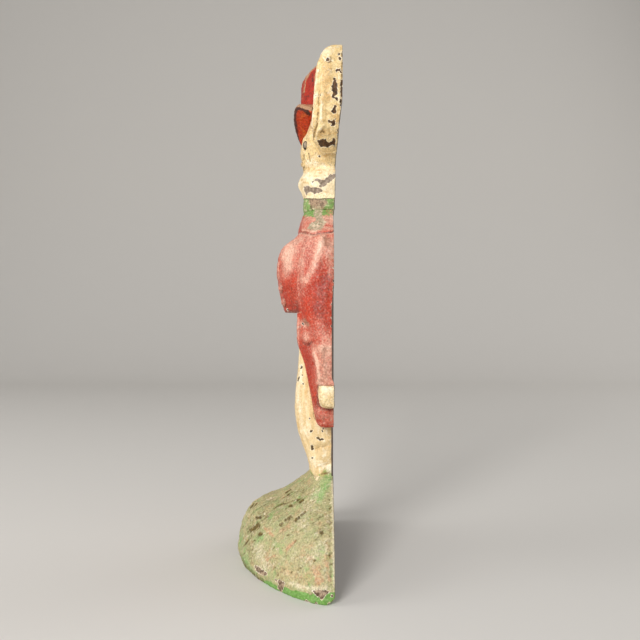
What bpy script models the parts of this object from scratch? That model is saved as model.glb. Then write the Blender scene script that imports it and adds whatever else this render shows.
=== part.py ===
"""Cast iron doorstop: a hare in a top hat and tailcoat, standing on a grassy mound.

The figure is half round. Every form lies on one flat back plane and is modelled as a loft of
D-shaped sections: a straight back, two straight flanks and a curved front. Sizes are in
millimetres and MM turns them to metres. The hare faces -Y, its left side is +X, and depth is
measured forwards from the back plane.
"""

import math
from collections import namedtuple

import bmesh
import bpy
from mathutils import Matrix, Vector

MM = 0.001

# Overall sizes of the casting.
BASE_WIDTH = 119.0
BASE_DEPTH = 49.0
PLINTH_HEIGHT = 5.0
MOUND_TOP = 45.5
HEIGHT = 251.5
EAR_LEAN = 4.0  # how far the ears bend back past the flat back
EAR_SPLAY = 11.0  # degrees that the ears lean outwards
BACK_Y = (BASE_DEPTH - EAR_LEAN) / 2  # puts the origin under the middle of the bounding box

# Levels of the clothing, from the ground up.
TAIL_HEM = 71.5
WAIST = 126.5
CAPE_HEM = 166.5
NECK = 177.5
BAND_TOP = 185.3
CHIN = 198.5
BRIM_LEVEL = 226.5

GAP = 0.3  # clearance between neighbouring forms
WALL = 5.0  # iron left round the hollows in the back

# The hat sits a little to the hare's right and is tilted down to that side.
HAT_X = -3.0
HAT_TILT = 12.0
CROWN_HEIGHT = 20.2
BRIM_HALF = 29.0
BRIM_REACH = 20.1
BRIM_END_REACH = 6.5  # reach of the brim at its two ends
BRIM_THICKNESS = 2.6
BRIM_EDGE = 1.0  # how far the edge of the brim comes to a blunt point
BRIM_LEAN = 2.3
BRIM_DROOP_LEFT = 10.5
BRIM_DROOP_RIGHT = 5.0
BRIM_ARCH = 0.4  # share of the droop that is an even arch, the rest is near the ends
BRIM_SLICES = 16

# How the front of a section curves between its flanks: an ellipse, a boxy one, a boxier one for
# the brim, a barrel chest, and the ground, which comes to a blunt point in front.
ROUND = (2.0, 0.5)
SQUARE = (2.0, 0.35)
WIDE = (2.0, 0.28)
CHEST = (2.0, 0.75)
GROUND = (1.5, 0.7)

# Fineness of the lofts.
ARC_STEPS = 12
RINGS_PER_SPAN = 2

Station = namedtuple("Station", "z half depth x flank lean", defaults=(0.0, 4.0, 0.0))
Finish = namedtuple("Finish", "colour roughness metallic")

FINISHES = {
    "green_paint": Finish((0.23, 0.36, 0.17), 0.6, 0.0),
    "cream_paint": Finish((0.82, 0.72, 0.48), 0.55, 0.0),
    "red_paint": Finish((0.45, 0.07, 0.05), 0.5, 0.0),
    "black_paint": Finish((0.03, 0.025, 0.02), 0.4, 0.0),
}

makers = {}  # name of a piece to the function that makes its mesh, grown by a clearance


def clear_scene():
    for obj in list(bpy.data.objects):
        bpy.data.objects.remove(obj, do_unlink=True)


def new_collection(name):
    collection = bpy.data.collections.new(name)
    bpy.context.scene.collection.children.link(collection)
    return collection


def make_finishes():
    """One Principled material for each paint."""
    made = {}
    for name, finish in FINISHES.items():
        material = bpy.data.materials.new(name)
        material.use_nodes = True
        shader = material.node_tree.nodes["Principled BSDF"]
        shader.inputs["Base Color"].default_value = (*finish.colour, 1.0)
        shader.inputs["Roughness"].default_value = finish.roughness
        shader.inputs["Metallic"].default_value = finish.metallic
        made[name] = material
    return made


def between(stations, steps):
    """The stations with smooth ones added between them, on a Catmull-Rom spline."""
    ends = [stations[0], *stations, stations[-1]]
    found = [stations[0]]
    for before, start, end, after in zip(ends, ends[1:], ends[2:], ends[3:]):
        for step in range(1, steps + 1):
            t = step / steps
            values = []
            for a, b, c, d in zip(before, start, end, after):
                cubic = 3 * (b - c) + d - a
                square = 2 * a - 5 * b + 4 * c - d
                values.append(b + 0.5 * t * (c - a + t * (square + t * cubic)))
            found.append(Station(*values))
    return found


def bulge(across, shape):
    """How far forward a section reaches, from 1 in the middle to 0 at its flanks, where across is 1."""
    power, root = shape
    return max(0.0, 1.0 - abs(across) ** power) ** root


def section(station, shape, grow):
    """The outline of one D-shaped section, whose front follows (1 - across ** a) ** b with shape (a, b)."""
    half = station.half + grow
    back = BACK_Y + station.lean
    flank = min(station.flank, 0.6 * station.depth)
    rise = station.depth + grow - flank
    outline = [(station.x + half, back + grow)]
    for step in range(ARC_STEPS + 1):
        angle = math.pi * step / ARC_STEPS
        across = math.cos(angle)
        reach = flank + rise * bulge(across, shape)
        outline.append((station.x + half * across, back - reach))
    outline.append((station.x - half, back + grow))
    return [Vector((x, y, station.z)) for x, y in outline]


def mesh_from(name, bm):
    bmesh.ops.scale(bm, vec=(MM, MM, MM), verts=bm.verts)
    bmesh.ops.recalc_face_normals(bm, faces=bm.faces)
    mesh = bpy.data.meshes.new(name)
    bm.to_mesh(mesh)
    bm.free()
    return mesh


def skin(name, rings):
    """A closed mesh through rings of points, all with the same number of points."""
    bm = bmesh.new()
    loops = [[bm.verts.new(point) for point in ring] for ring in rings]
    count = len(loops[0])
    for lower, upper in zip(loops, loops[1:]):
        for i in range(count):
            j = (i + 1) % count
            bm.faces.new((lower[i], lower[j], upper[j], upper[i]))
    bm.faces.new(loops[0])
    bm.faces.new(loops[-1])
    return mesh_from(name, bm)


def loft(name, stations, shape, grow=0.0, rings_per_span=RINGS_PER_SPAN):
    """A form built up from D-shaped sections, from its lowest station to its highest."""
    path = between(stations, rings_per_span)
    path[0] = path[0]._replace(z=path[0].z - grow)
    path[-1] = path[-1]._replace(z=path[-1].z + grow)
    return skin(name, [section(station, shape, grow) for station in path])


def place(name, mesh, collection, material=None):
    obj = bpy.data.objects.new(name, mesh)
    collection.objects.link(obj)
    if material is not None:
        mesh.materials.append(material)
        mesh.shade_smooth()
        mesh.set_sharp_from_angle(angle=math.radians(40))
    return obj


def add(name, finish, make):
    """Adds a piece. make(grow) returns its mesh, made larger all round by grow."""
    makers[name] = make
    return place(name, make(0.0), figure, finishes[finish])


def add_loft(name, finish, stations, shape, rings_per_span=RINGS_PER_SPAN):
    return add(name, finish, lambda grow: loft(name, stations, shape, grow, rings_per_span))


def add_ball(name, finish, centre, radii):
    return add(name, finish, lambda grow: ball(name, centre, radii, grow))


def boolean(obj, other, operation):
    modifier = obj.modifiers.new(f"{operation.lower()}_{other.name}", "BOOLEAN")
    modifier.operation = operation
    modifier.solver = "EXACT"
    modifier.object = other


def helper(name, mesh):
    """A cutter or another shape that a Boolean uses, kept out of the object."""
    obj = place(name, mesh, helpers)
    obj.hide_render = True
    obj.display_type = "WIRE"
    return obj


def fit_round(obj, *neighbours):
    """Cuts obj back from each neighbour that lies over it, leaving the gap between them."""
    for name in neighbours:
        cutter = bpy.data.objects.get(f"room_for_{name}")
        if cutter is None:
            cutter = helper(f"room_for_{name}", makers[name](GAP))
        boolean(obj, cutter, "DIFFERENCE")


def hollow(obj, name, stations, shape):
    """Opens a pocket into obj from the flat back."""
    past_back = [station._replace(lean=1.0, depth=station.depth + 1.0) for station in stations]
    boolean(obj, helper(name, loft(name, past_back, shape)), "DIFFERENCE")


def ball(name, centre, radii, grow=0.0, segments=16, rings=8):
    """An ellipsoid at centre, given as x, depth from the back, and z."""
    x, depth, z = centre
    bm = bmesh.new()
    bmesh.ops.create_uvsphere(bm, u_segments=segments, v_segments=rings, radius=1.0)
    size = [radius + grow for radius in radii]
    bmesh.ops.scale(bm, vec=size, verts=bm.verts)
    bmesh.ops.translate(bm, vec=(x, BACK_Y - depth, z), verts=bm.verts)
    return mesh_from(name, bm)


def make_base():
    """The flat plinth that stands on the floor, and the mound of grass over it."""
    half = BASE_WIDTH / 2
    plinth = [
        Station(0.0, half - 0.5, BASE_DEPTH - 1.5),
        Station(1.2, half - 0.2, BASE_DEPTH - 1.0),
        Station(PLINTH_HEIGHT - 1.0, half, BASE_DEPTH - 0.1),
        Station(PLINTH_HEIGHT, half, BASE_DEPTH),
    ]
    add_loft("base_plinth", "green_paint", plinth, GROUND, rings_per_span=1)

    mound = [
        Station(PLINTH_HEIGHT + GAP, half - 0.1, BASE_DEPTH),
        Station(9.0, 58.2, 48.7),
        Station(14.0, 55.9, 47.9),
        Station(20.0, 52.4, 46.7),
        Station(26.0, 47.6, 43.2),
        Station(29.5, 43.6, 40.1),
        Station(32.5, 38.6, 34.0),
        Station(35.5, 33.6, 27.4),
        Station(38.0, 30.0, 22.2),
        Station(40.6, 27.0, 17.2),
        Station(43.0, 24.4, 13.7),
        Station(MOUND_TOP, 21.8, 11.8),
    ]
    obj = add_loft("grass_mound", "green_paint", mound, GROUND)
    pocket = [
        station._replace(half=station.half - WALL, depth=station.depth - WALL)
        for station in mound[:-3]
    ]
    pocket[0] = pocket[0]._replace(z=PLINTH_HEIGHT - 1.0)
    pocket[-1] = pocket[-1]._replace(z=pocket[-1].z + 0.5)
    hollow(obj, "mound_pocket", pocket, GROUND)


def make_leg(side, sign):
    leg = [
        Station(MOUND_TOP + GAP, 7.3, 11.5, sign * 11.3),
        Station(51.0, 7.6, 11.9, sign * 11.4),
        Station(57.0, 8.1, 13.7, sign * 11.4),
        Station(63.5, 8.9, 16.1, sign * 11.4),
        Station(70.0, 9.8, 17.9, sign * 11.3),
        Station(78.0, 10.6, 18.9, sign * 11.2),
        Station(86.0, 10.8, 18.8, sign * 11.2),
        Station(94.0, 10.9, 17.9, sign * 11.2),
        Station(106.0, 10.9, 16.9, sign * 11.2),
        Station(WAIST - GAP, 10.9, 16.8, sign * 11.2),
    ]
    add_loft(f"{side}_trouser_leg", "cream_paint", leg, ROUND)


def make_tail(side, sign):
    """One side of the tailcoat below the waist: it sweeps back from the hip to a hanging tail."""
    tail = [
        Station(TAIL_HEM, 6.0, 6.6, sign * 22.8),
        Station(TAIL_HEM + 2.0, 7.0, 8.2, sign * 22.6),
        Station(82.0, 7.4, 10.0, sign * 22.2),
        Station(91.0, 7.6, 11.7, sign * 21.9),
        Station(101.0, 7.9, 13.8, sign * 21.5),
        Station(107.0, 8.2, 15.8, sign * 21.2),
        Station(113.0, 8.7, 17.6, sign * 20.7),
        Station(WAIST - GAP, 9.4, 17.5, sign * 20.0),
    ]
    return add_loft(f"{side}_coat_tail", "red_paint", tail, SQUARE)


def make_arm(side, sign):
    """A sleeve that hangs down the side, and the paw below its cuff."""
    sleeve = [
        Station(92.3, 5.8, 8.4, sign * 33.2),
        Station(97.0, 6.0, 8.6, sign * 32.8),
        Station(106.0, 6.4, 9.8, sign * 32.2),
        Station(116.0, 7.0, 12.4, sign * 31.4),
        Station(126.0, 7.4, 15.0, sign * 30.6),
        Station(137.0, 7.8, 17.0, sign * 29.8),
        Station(148.0, 8.2, 16.8, sign * 29.0),
        Station(158.0, 8.0, 14.6, sign * 27.8),
        Station(164.0, 6.4, 11.6, sign * 26.6),
        Station(CAPE_HEM - GAP, 4.2, 8.4, sign * 25.6),
    ]
    add_loft(f"{side}_sleeve", "red_paint", sleeve, ROUND)
    paw = [
        Station(81.8, 3.4, 4.6, sign * 33.8, 2.0),
        Station(83.0, 5.4, 6.3, sign * 33.8, 3.0),
        Station(86.0, 6.4, 7.0, sign * 33.7),
        Station(89.5, 6.3, 7.0, sign * 33.5),
        Station(92.0, 5.4, 6.8, sign * 33.3),
    ]
    add_loft(f"{side}_paw", "cream_paint", paw, SQUARE)


COAT = [
    Station(WAIST, 27.4, 24.6, flank=5.0),
    Station(128.7, 27.6, 25.2, flank=5.0),
    Station(133.0, 28.2, 26.6, flank=5.0),
    Station(141.0, 28.8, 28.1, flank=5.0),
    Station(148.5, 28.8, 27.9, flank=5.0),
    Station(153.0, 28.5, 27.5, flank=5.0),
    Station(156.5, 28.2, 26.6, flank=5.0),
    Station(160.0, 27.8, 24.3, flank=5.0),
    Station(163.0, 27.4, 19.8, flank=5.0),
    Station(CAPE_HEM - GAP, 27.0, 16.7, flank=5.0),
]


def coat_depth(x, z):
    """How far the front of the coat stands from the back plane at x, z."""
    station = min(between(COAT, 12), key=lambda found: abs(found.z - z))
    return station.flank + (station.depth - station.flank) * bulge(x / station.half, CHEST)


def make_coat():
    obj = add_loft("coat_body", "red_paint", COAT, CHEST)
    pocket = [
        Station(WAIST + WALL, 17.0, 17.0),
        Station(140.0, 19.0, 20.5),
        Station(150.0, 19.0, 21.5),
        Station(157.0, 17.5, 18.5),
        Station(CAPE_HEM - WALL, 15.0, 11.5),
    ]
    hollow(obj, "coat_pocket", pocket, CHEST)
    collar = [
        Station(CAPE_HEM, 27.6, 17.5),
        Station(CAPE_HEM + 1.4, 27.4, 17.6),
        Station(171.0, 24.0, 16.8),
        Station(174.5, 18.8, 15.7),
        Station(NECK - GAP, 15.0, 15.1, lean=0.3),
    ]
    add_loft("coat_collar", "red_paint", collar, ROUND)
    return obj


def plate(name, outline, near, far):
    """A flat outline of x, z points, made solid from depth near to depth far."""
    bm = bmesh.new()
    face = bm.faces.new([bm.verts.new((x, BACK_Y - near, z)) for x, z in outline])
    pushed = bmesh.ops.extrude_face_region(bm, geom=[face])["geom"]
    moved = [item for item in pushed if isinstance(item, bmesh.types.BMVert)]
    bmesh.ops.translate(bm, vec=(0, near - far, 0), verts=moved)
    return mesh_from(name, bm)


LAPEL_THICKNESS = 1.0
LAPEL = ((2.2, 143.0), (13.5, 157.0), (11.0, 158.6), (14.6, 165.6), (8.4, 165.6), (1.2, 150.0))
LAPEL_REACH = (12.0, 40.0)  # the plate starts and ends here, well inside and outside the coat


def make_lapel(side, sign, coat_skin):
    """A turned lapel: a plate of even thickness that follows the front of the coat."""
    name = f"{side}_lapel"
    outline = [(sign * x, z) for x, z in LAPEL]
    obj = place(name, plate(name, outline, *LAPEL_REACH), figure, finishes["red_paint"])
    boolean(obj, coat_skin, "INTERSECT")
    fit_round(obj, "coat_body")


BUTTON_RADII = (2.2, 1.5, 2.2)
BUTTON_SUNK = 0.5  # how deep the middle of a button lies in the coat
BUTTON_PLACES = [(sign * 8.0, z) for z in (138.5, 131.5) for sign in (1, -1)]


def make_buttons(coat):
    for number, (x, z) in enumerate(BUTTON_PLACES, 1):
        centre = (x, coat_depth(x, z) - BUTTON_SUNK, z)
        add_ball(f"coat_button_{number}", "red_paint", centre, BUTTON_RADII)
        fit_round(coat, f"coat_button_{number}")


HIP_BUTTON_PLACE = (26.6, 12.9, 114.3)
HIP_BUTTON_RADII = (3.4, 2.8, 3.7)


def make_hip_button(side, sign, tail):
    """The round knob at the hip where the tail of the coat starts."""
    x, depth, z = HIP_BUTTON_PLACE
    button = add_ball(f"{side}_hip_button", "red_paint", (sign * x, depth, z), HIP_BUTTON_RADII)
    fit_round(tail, f"{side}_hip_button")
    return button


def make_neck():
    band = [
        Station(NECK, 14.0, 15.3, lean=0.5),
        Station(NECK + 3.8, 14.5, 15.8, lean=0.7),
        Station(BAND_TOP - GAP, 13.6, 15.4, lean=0.9),
    ]
    add_loft("neck_band", "green_paint", band, ROUND)
    ruff = [
        Station(BAND_TOP, 13.2, 15.7, lean=0.9),
        Station(188.8, 14.6, 17.2, lean=1.0),
        Station(192.6, 15.4, 18.3, lean=1.1),
        Station(196.0, 15.0, 17.5, lean=1.2),
        Station(CHIN - GAP, 13.8, 16.0, lean=1.2),
    ]
    add_loft("shirt_collar", "cream_paint", ruff, ROUND)


def make_head():
    head = [
        Station(CHIN, 11.5, 15.9, lean=1.2),
        Station(200.5, 14.6, 16.8, lean=1.2),
        Station(204.5, 17.6, 17.0, lean=1.3),
        Station(209.0, 18.8, 17.5, lean=1.4),
        Station(213.5, 18.4, 17.0, lean=1.6),
        Station(218.0, 17.0, 15.2, lean=1.8),
        Station(223.0, 15.8, 13.6, lean=2.0),
        Station(BRIM_LEVEL, 14.8, 13.0, lean=2.2),
    ]
    obj = add_loft("head", "cream_paint", head, ROUND)
    features = {
        "nose": ((0.0, 15.4, 203.0), (2.0, 1.0, 1.3)),
        "left_eye": ((9.4, 13.8, 210.4), (2.0, 1.3, 2.2)),
        "right_eye": ((-9.4, 13.8, 210.4), (2.0, 1.3, 2.2)),
    }
    for name, (centre, radii) in features.items():
        add_ball(name, "black_paint", centre, radii)
        fit_round(obj, name)
    return obj


EAR_HOLLOW_MIDDLE = (26.6, 10.6, 227.0)
EAR_HOLLOW_RADII = (3.6, 3.0, 17.0)


def make_ear(side, sign, spread):
    """A long ear that rises beside the hat and bends back, with a hollow down its front."""
    ear = [
        Station(204.0, 1.6, 6.0, sign * 19.4, 4.0, 1.3),
        Station(207.0, 3.8, 9.8, sign * 20.8, 6.0, 1.6),
        Station(211.0, 6.0, 12.0, sign * 22.8, 7.0, 2.0),
        Station(216.0, 7.6, 13.2, sign * (25.0 + 0.4 * spread), 8.0, 2.5),
        Station(225.0, 8.2, 13.4, sign * (27.0 + 0.8 * spread), 8.0, 3.6),
        Station(234.0, 8.0, 13.1, sign * (28.6 + spread), 8.0, EAR_LEAN),
        Station(242.0, 7.0, 12.0, sign * (29.8 + spread), 7.0, EAR_LEAN),
        Station(247.5, 5.2, 10.0, sign * (30.4 + spread), 6.0, EAR_LEAN),
        Station(250.4, 3.2, 7.6, sign * (30.6 + spread), 4.5, EAR_LEAN),
        Station(HEIGHT, 1.6, 5.0, sign * (30.7 + spread), 3.0, EAR_LEAN),
    ]
    obj = add_loft(f"{side}_ear", "cream_paint", ear, ROUND)
    cutter = helper(f"{side}_ear_hollow", ball("ear_hollow", (0.0, BACK_Y, 0.0), EAR_HOLLOW_RADII))
    x, depth, z = EAR_HOLLOW_MIDDLE
    cutter.location = Vector((sign * (x + spread), BACK_Y - depth, z)) * MM
    cutter.rotation_euler.y = math.radians(sign * EAR_SPLAY)
    boolean(obj, cutter, "DIFFERENCE")


def brim_sections(grow):
    """Slices of the brim from the hare's right to its left. The brim arches down at both ends."""
    rings = []
    for step in range(BRIM_SLICES + 1):
        across = -math.cos(math.pi * step / BRIM_SLICES)
        reach = BRIM_END_REACH + (BRIM_REACH - BRIM_END_REACH) * bulge(across, WIDE)
        front = BACK_Y - reach - grow
        back = BACK_Y + BRIM_LEAN + grow
        droop = BRIM_DROOP_LEFT if across > 0 else BRIM_DROOP_RIGHT
        level = -droop * (BRIM_ARCH * across**2 + (1.0 - BRIM_ARCH) * across**4)
        top = level + BRIM_THICKNESS / 2 + grow
        bottom = level - BRIM_THICKNESS / 2 - grow
        edge = [(back, bottom), (front + BRIM_EDGE, bottom), (front, level)]
        edge += [(front + BRIM_EDGE, top), (back, top)]
        x = (BRIM_HALF + grow) * across
        rings.append([Vector((x, y, z)) for y, z in edge])
    return rings


def tilted(mesh):
    """Turns a piece of the hat, made upright about the origin, to its place on the head."""
    turn = Matrix.Rotation(math.radians(-HAT_TILT), 4, "Y")
    mesh.transform(Matrix.Translation(Vector((HAT_X, 0.0, BRIM_LEVEL)) * MM) @ turn)
    return mesh


def make_hat():
    """The brim lies round the foot of the crown, as a half ring."""
    crown = [
        Station(-BRIM_THICKNESS / 2, 15.6, 18.2, lean=2.2),
        Station(4.0, 15.6, 18.8, lean=2.5),
        Station(11.0, 16.2, 19.2, lean=2.9),
        Station(CROWN_HEIGHT - 1.6, 18.2, 19.5, lean=3.4),
        Station(CROWN_HEIGHT, 17.4, 18.7, lean=3.4),
    ]
    brim = add("hat_brim", "red_paint", lambda grow: tilted(skin("hat_brim", brim_sections(grow))))
    add("hat_crown", "red_paint", lambda grow: tilted(loft("hat_crown", crown, ROUND, grow)))
    return brim


def settle(root):
    """Puts each piece's origin in the middle of its mesh and hangs it on the doorstop's empty."""
    for obj in figure.objects:
        if obj is root:
            continue
        middle = sum((Vector(corner) for corner in obj.bound_box), Vector()) / 8
        obj.data.transform(Matrix.Translation(-middle))
        obj.location = middle
        obj.parent = root


def build():
    make_base()
    pairs = (("left", 1), ("right", -1))
    for side, sign in pairs:
        make_leg(side, sign)
        make_arm(side, sign)
    coat = make_coat()
    make_buttons(coat)
    coat_skin = helper("coat_skin", loft("coat_skin", COAT, CHEST, LAPEL_THICKNESS))
    for side, sign in pairs:
        make_lapel(side, sign, coat_skin)
        tail = make_tail(side, sign)
        button = make_hip_button(side, sign, tail)
        fit_round(button, f"{side}_sleeve")
        fit_round(tail, f"{side}_trouser_leg", f"{side}_sleeve", f"{side}_paw")
    make_neck()
    head = make_head()
    brim = make_hat()
    make_ear("left", 1, 0.0)
    make_ear("right", -1, 3.0)
    fit_round(coat, "left_sleeve", "right_sleeve")
    fit_round(brim, "hat_crown", "left_ear", "right_ear")
    fit_round(head, "hat_brim", "hat_crown", "left_ear", "right_ear")
    root = bpy.data.objects.new("doorstop", None)
    figure.objects.link(root)
    settle(root)


clear_scene()
figure = new_collection("hare_doorstop")
helpers = new_collection("cutters")
finishes = make_finishes()
build()
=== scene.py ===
# %% [markdown]
# A painted cast iron doorstop: a hare in a top hat and tailcoat on a mound of grass.
#
# The real doorstop is one piece of grey iron, poured in a sand mould and painted by hand with oil
# enamel. The sand gives the metal its grain, the carved pattern gives it soft creases, and many
# years of doors and boots have chipped the paint to the iron. The plain solids come from model.glb.
# This script turns them into fine cast skins, sculpts the creases that the photograph shows, and
# paints them in worn layers.

import math
from collections import namedtuple

import bmesh
import bpy
import numpy as np
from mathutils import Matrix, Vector, noise
from mathutils.bvhtree import BVHTree


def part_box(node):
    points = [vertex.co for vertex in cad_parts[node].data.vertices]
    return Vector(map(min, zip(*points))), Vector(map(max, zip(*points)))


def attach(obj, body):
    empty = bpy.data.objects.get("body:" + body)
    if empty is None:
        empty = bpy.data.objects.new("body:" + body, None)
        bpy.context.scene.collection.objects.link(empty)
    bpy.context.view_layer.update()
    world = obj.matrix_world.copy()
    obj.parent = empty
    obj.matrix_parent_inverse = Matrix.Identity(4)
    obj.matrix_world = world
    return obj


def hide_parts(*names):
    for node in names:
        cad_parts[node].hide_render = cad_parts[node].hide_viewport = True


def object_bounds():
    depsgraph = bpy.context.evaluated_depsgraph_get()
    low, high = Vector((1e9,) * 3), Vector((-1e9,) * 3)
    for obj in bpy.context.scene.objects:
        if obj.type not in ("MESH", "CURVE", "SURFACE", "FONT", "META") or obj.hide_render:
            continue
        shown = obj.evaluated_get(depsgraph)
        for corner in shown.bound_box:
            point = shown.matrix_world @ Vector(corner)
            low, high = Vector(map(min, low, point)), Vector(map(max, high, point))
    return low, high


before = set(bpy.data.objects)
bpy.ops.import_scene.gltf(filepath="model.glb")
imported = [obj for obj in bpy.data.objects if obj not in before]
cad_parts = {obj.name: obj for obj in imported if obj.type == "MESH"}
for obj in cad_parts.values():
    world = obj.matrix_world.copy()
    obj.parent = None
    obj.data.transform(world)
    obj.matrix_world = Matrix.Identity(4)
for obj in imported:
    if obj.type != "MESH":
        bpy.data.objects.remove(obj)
cad_low, cad_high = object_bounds()
print("CAD box in mm:", [round(1000 * v, 1) for v in (*cad_low, *cad_high)])

# %% [markdown]
# Colours and nodes.
#
# Painters mix colours by eye, and a hex code is the nearest thing to a swatch on a screen. Blender
# wants linear light, so one function turns the swatch into it. A second one adds a node to a
# material and gives back the output that the next node is fed from.

# %% Colour and node helpers


def hex_colour(code):
    """An sRGB swatch such as #C0FFEE, in the linear light that shaders use."""
    channels = [int(code[i : i + 2], 16) / 255 for i in (1, 3, 5)]
    linear = [c / 12.92 if c <= 0.04045 else ((c + 0.055) / 1.055) ** 2.4 for c in channels]
    return (*linear, 1.0)


def add_node(tree, kind, inputs, output=0, **settings):
    """Adds one shader node. An input takes a value or another node's output. Gives back one output."""
    made = tree.nodes.new("ShaderNode" + kind)
    for name, value in settings.items():
        setattr(made, name, value)
    for key, value in inputs.items():
        if isinstance(value, bpy.types.NodeSocket):
            tree.links.new(value, made.inputs[key])
        else:
            made.inputs[key].default_value = value
    return made.outputs[output]


# %% [markdown]
# The camera stands where the photographer's did.
#
# The picture is a straight side view from a forearm's length away, level with the hare's belt. At
# such a short distance the brim shows its underside and the plinth its top, so the distance matters
# more than the lens. The same numbers let the script say where in the picture a point of the
# iron appears, which is how creases and chips are put in their places below.

# %% Camera
PICTURE = 640  # pixels each way
FOCAL = 660.0  # focal length in pixels
CAMERA = np.array([342.0, 16.0, 122.5])  # millimetres


def in_scene(name, data):
    """A new object with this data, linked to the scene."""
    made = bpy.data.objects.new(name, data)
    bpy.context.scene.collection.objects.link(made)
    return made


camera_data = bpy.data.cameras.new("side_camera")
camera_data.sensor_width = 36.0
camera_data.lens = FOCAL / PICTURE * camera_data.sensor_width
camera = in_scene("side_camera", camera_data)
camera.location = Vector(CAMERA) / 1000
camera.rotation_euler = (math.radians(90), 0, math.radians(90))
bpy.context.scene.camera = camera
print("camera lens:", round(camera_data.lens, 2), "mm at", CAMERA, "mm")

# %% [markdown]
# The cast skin.
#
# Iron that was poured in one go has no joints, but the solids keep small gaps so that they never
# overlap. Each solid is therefore grown by a hair until neighbours meet, and then a group of them
# is skinned over with a voxel remesh. A boolean union would join them too, but it keeps sharp seams
# and long thin faces. The remesh gives an even mesh that can be sculpted, and it rounds each edge a
# little, as sand does.

# %% Skin a group of solids
MM = 0.001  # in metres. Lengths below are in millimetres, and places in the picture in pixels
GROW = 0.22  # closes the 0.3 mm gaps from both sides


def grown_copy(names, grow):
    """One bmesh of these solids, each merged and pushed out along its normals."""
    whole = bmesh.new()
    for name in names:
        part = bmesh.new()
        part.from_mesh(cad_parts[name].data)
        bmesh.ops.remove_doubles(part, verts=part.verts, dist=1e-6)
        part.normal_update()
        moved = [vert.co + vert.normal * grow * MM for vert in part.verts]
        for vert, place in zip(part.verts, moved):
            vert.co = place
        copy = bpy.data.meshes.new(name + "_copy")
        part.to_mesh(copy)
        part.free()
        whole.from_mesh(copy)
        bpy.data.meshes.remove(copy)
    return whole


def skinned(name, names, voxel, grow=GROW):
    """A new object whose even mesh, in steps of so many millimetres, covers these solids."""
    whole = grown_copy(names, grow)
    rough = bpy.data.meshes.new(name)
    whole.to_mesh(rough)
    whole.free()
    piece = in_scene(name, rough)
    remesh = piece.modifiers.new("skin", "REMESH")
    remesh.mode = "VOXEL"
    remesh.voxel_size = voxel * MM
    bpy.context.view_layer.update()
    graph = bpy.context.evaluated_depsgraph_get()
    fine = bpy.data.meshes.new_from_object(piece.evaluated_get(graph))
    piece.modifiers.clear()
    piece.data = fine
    bpy.data.meshes.remove(rough)
    fine.name = name
    return piece


# %% [markdown]
# Sculpting by formulas.
#
# A sculptor pushes the surface in and out with a brush. Here the points of a skin move along their
# normals, by noise at the size of sand grains and by strokes with a width and a depth. A stroke is
# drawn where the photograph shows it, so each point must know where in the picture it appears.
# The front of the figure isn't in the picture, and strokes there are drawn in millimetres.

# %% The surface of a piece


def step_between(low, high, values):
    """0 at low, 1 at high and a smooth rise between them, or a smooth fall where low is the larger."""
    t = np.clip((values - low) / (high - low), 0.0, 1.0)
    return t * t * (3 - 2 * t)


def bell(values, width):
    """1 at zero, falling away to a third at the width and almost nothing at twice the width."""
    return np.exp(-((values / width) ** 2))


def noise_at(places, octaves):
    """Noise of about -1 to 1 at each place, in lumps about 1 across."""
    return np.array([noise.fractal(place, 1.0, 2.0, octaves) for place in places])


def read_rows(items, key, width, kind=np.float32):
    """One property of all the points or edges of a mesh, in rows of so many numbers."""
    flat = np.empty(len(items) * width, kind)
    items.foreach_get(key, flat)
    return flat.reshape(-1, width)


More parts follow.
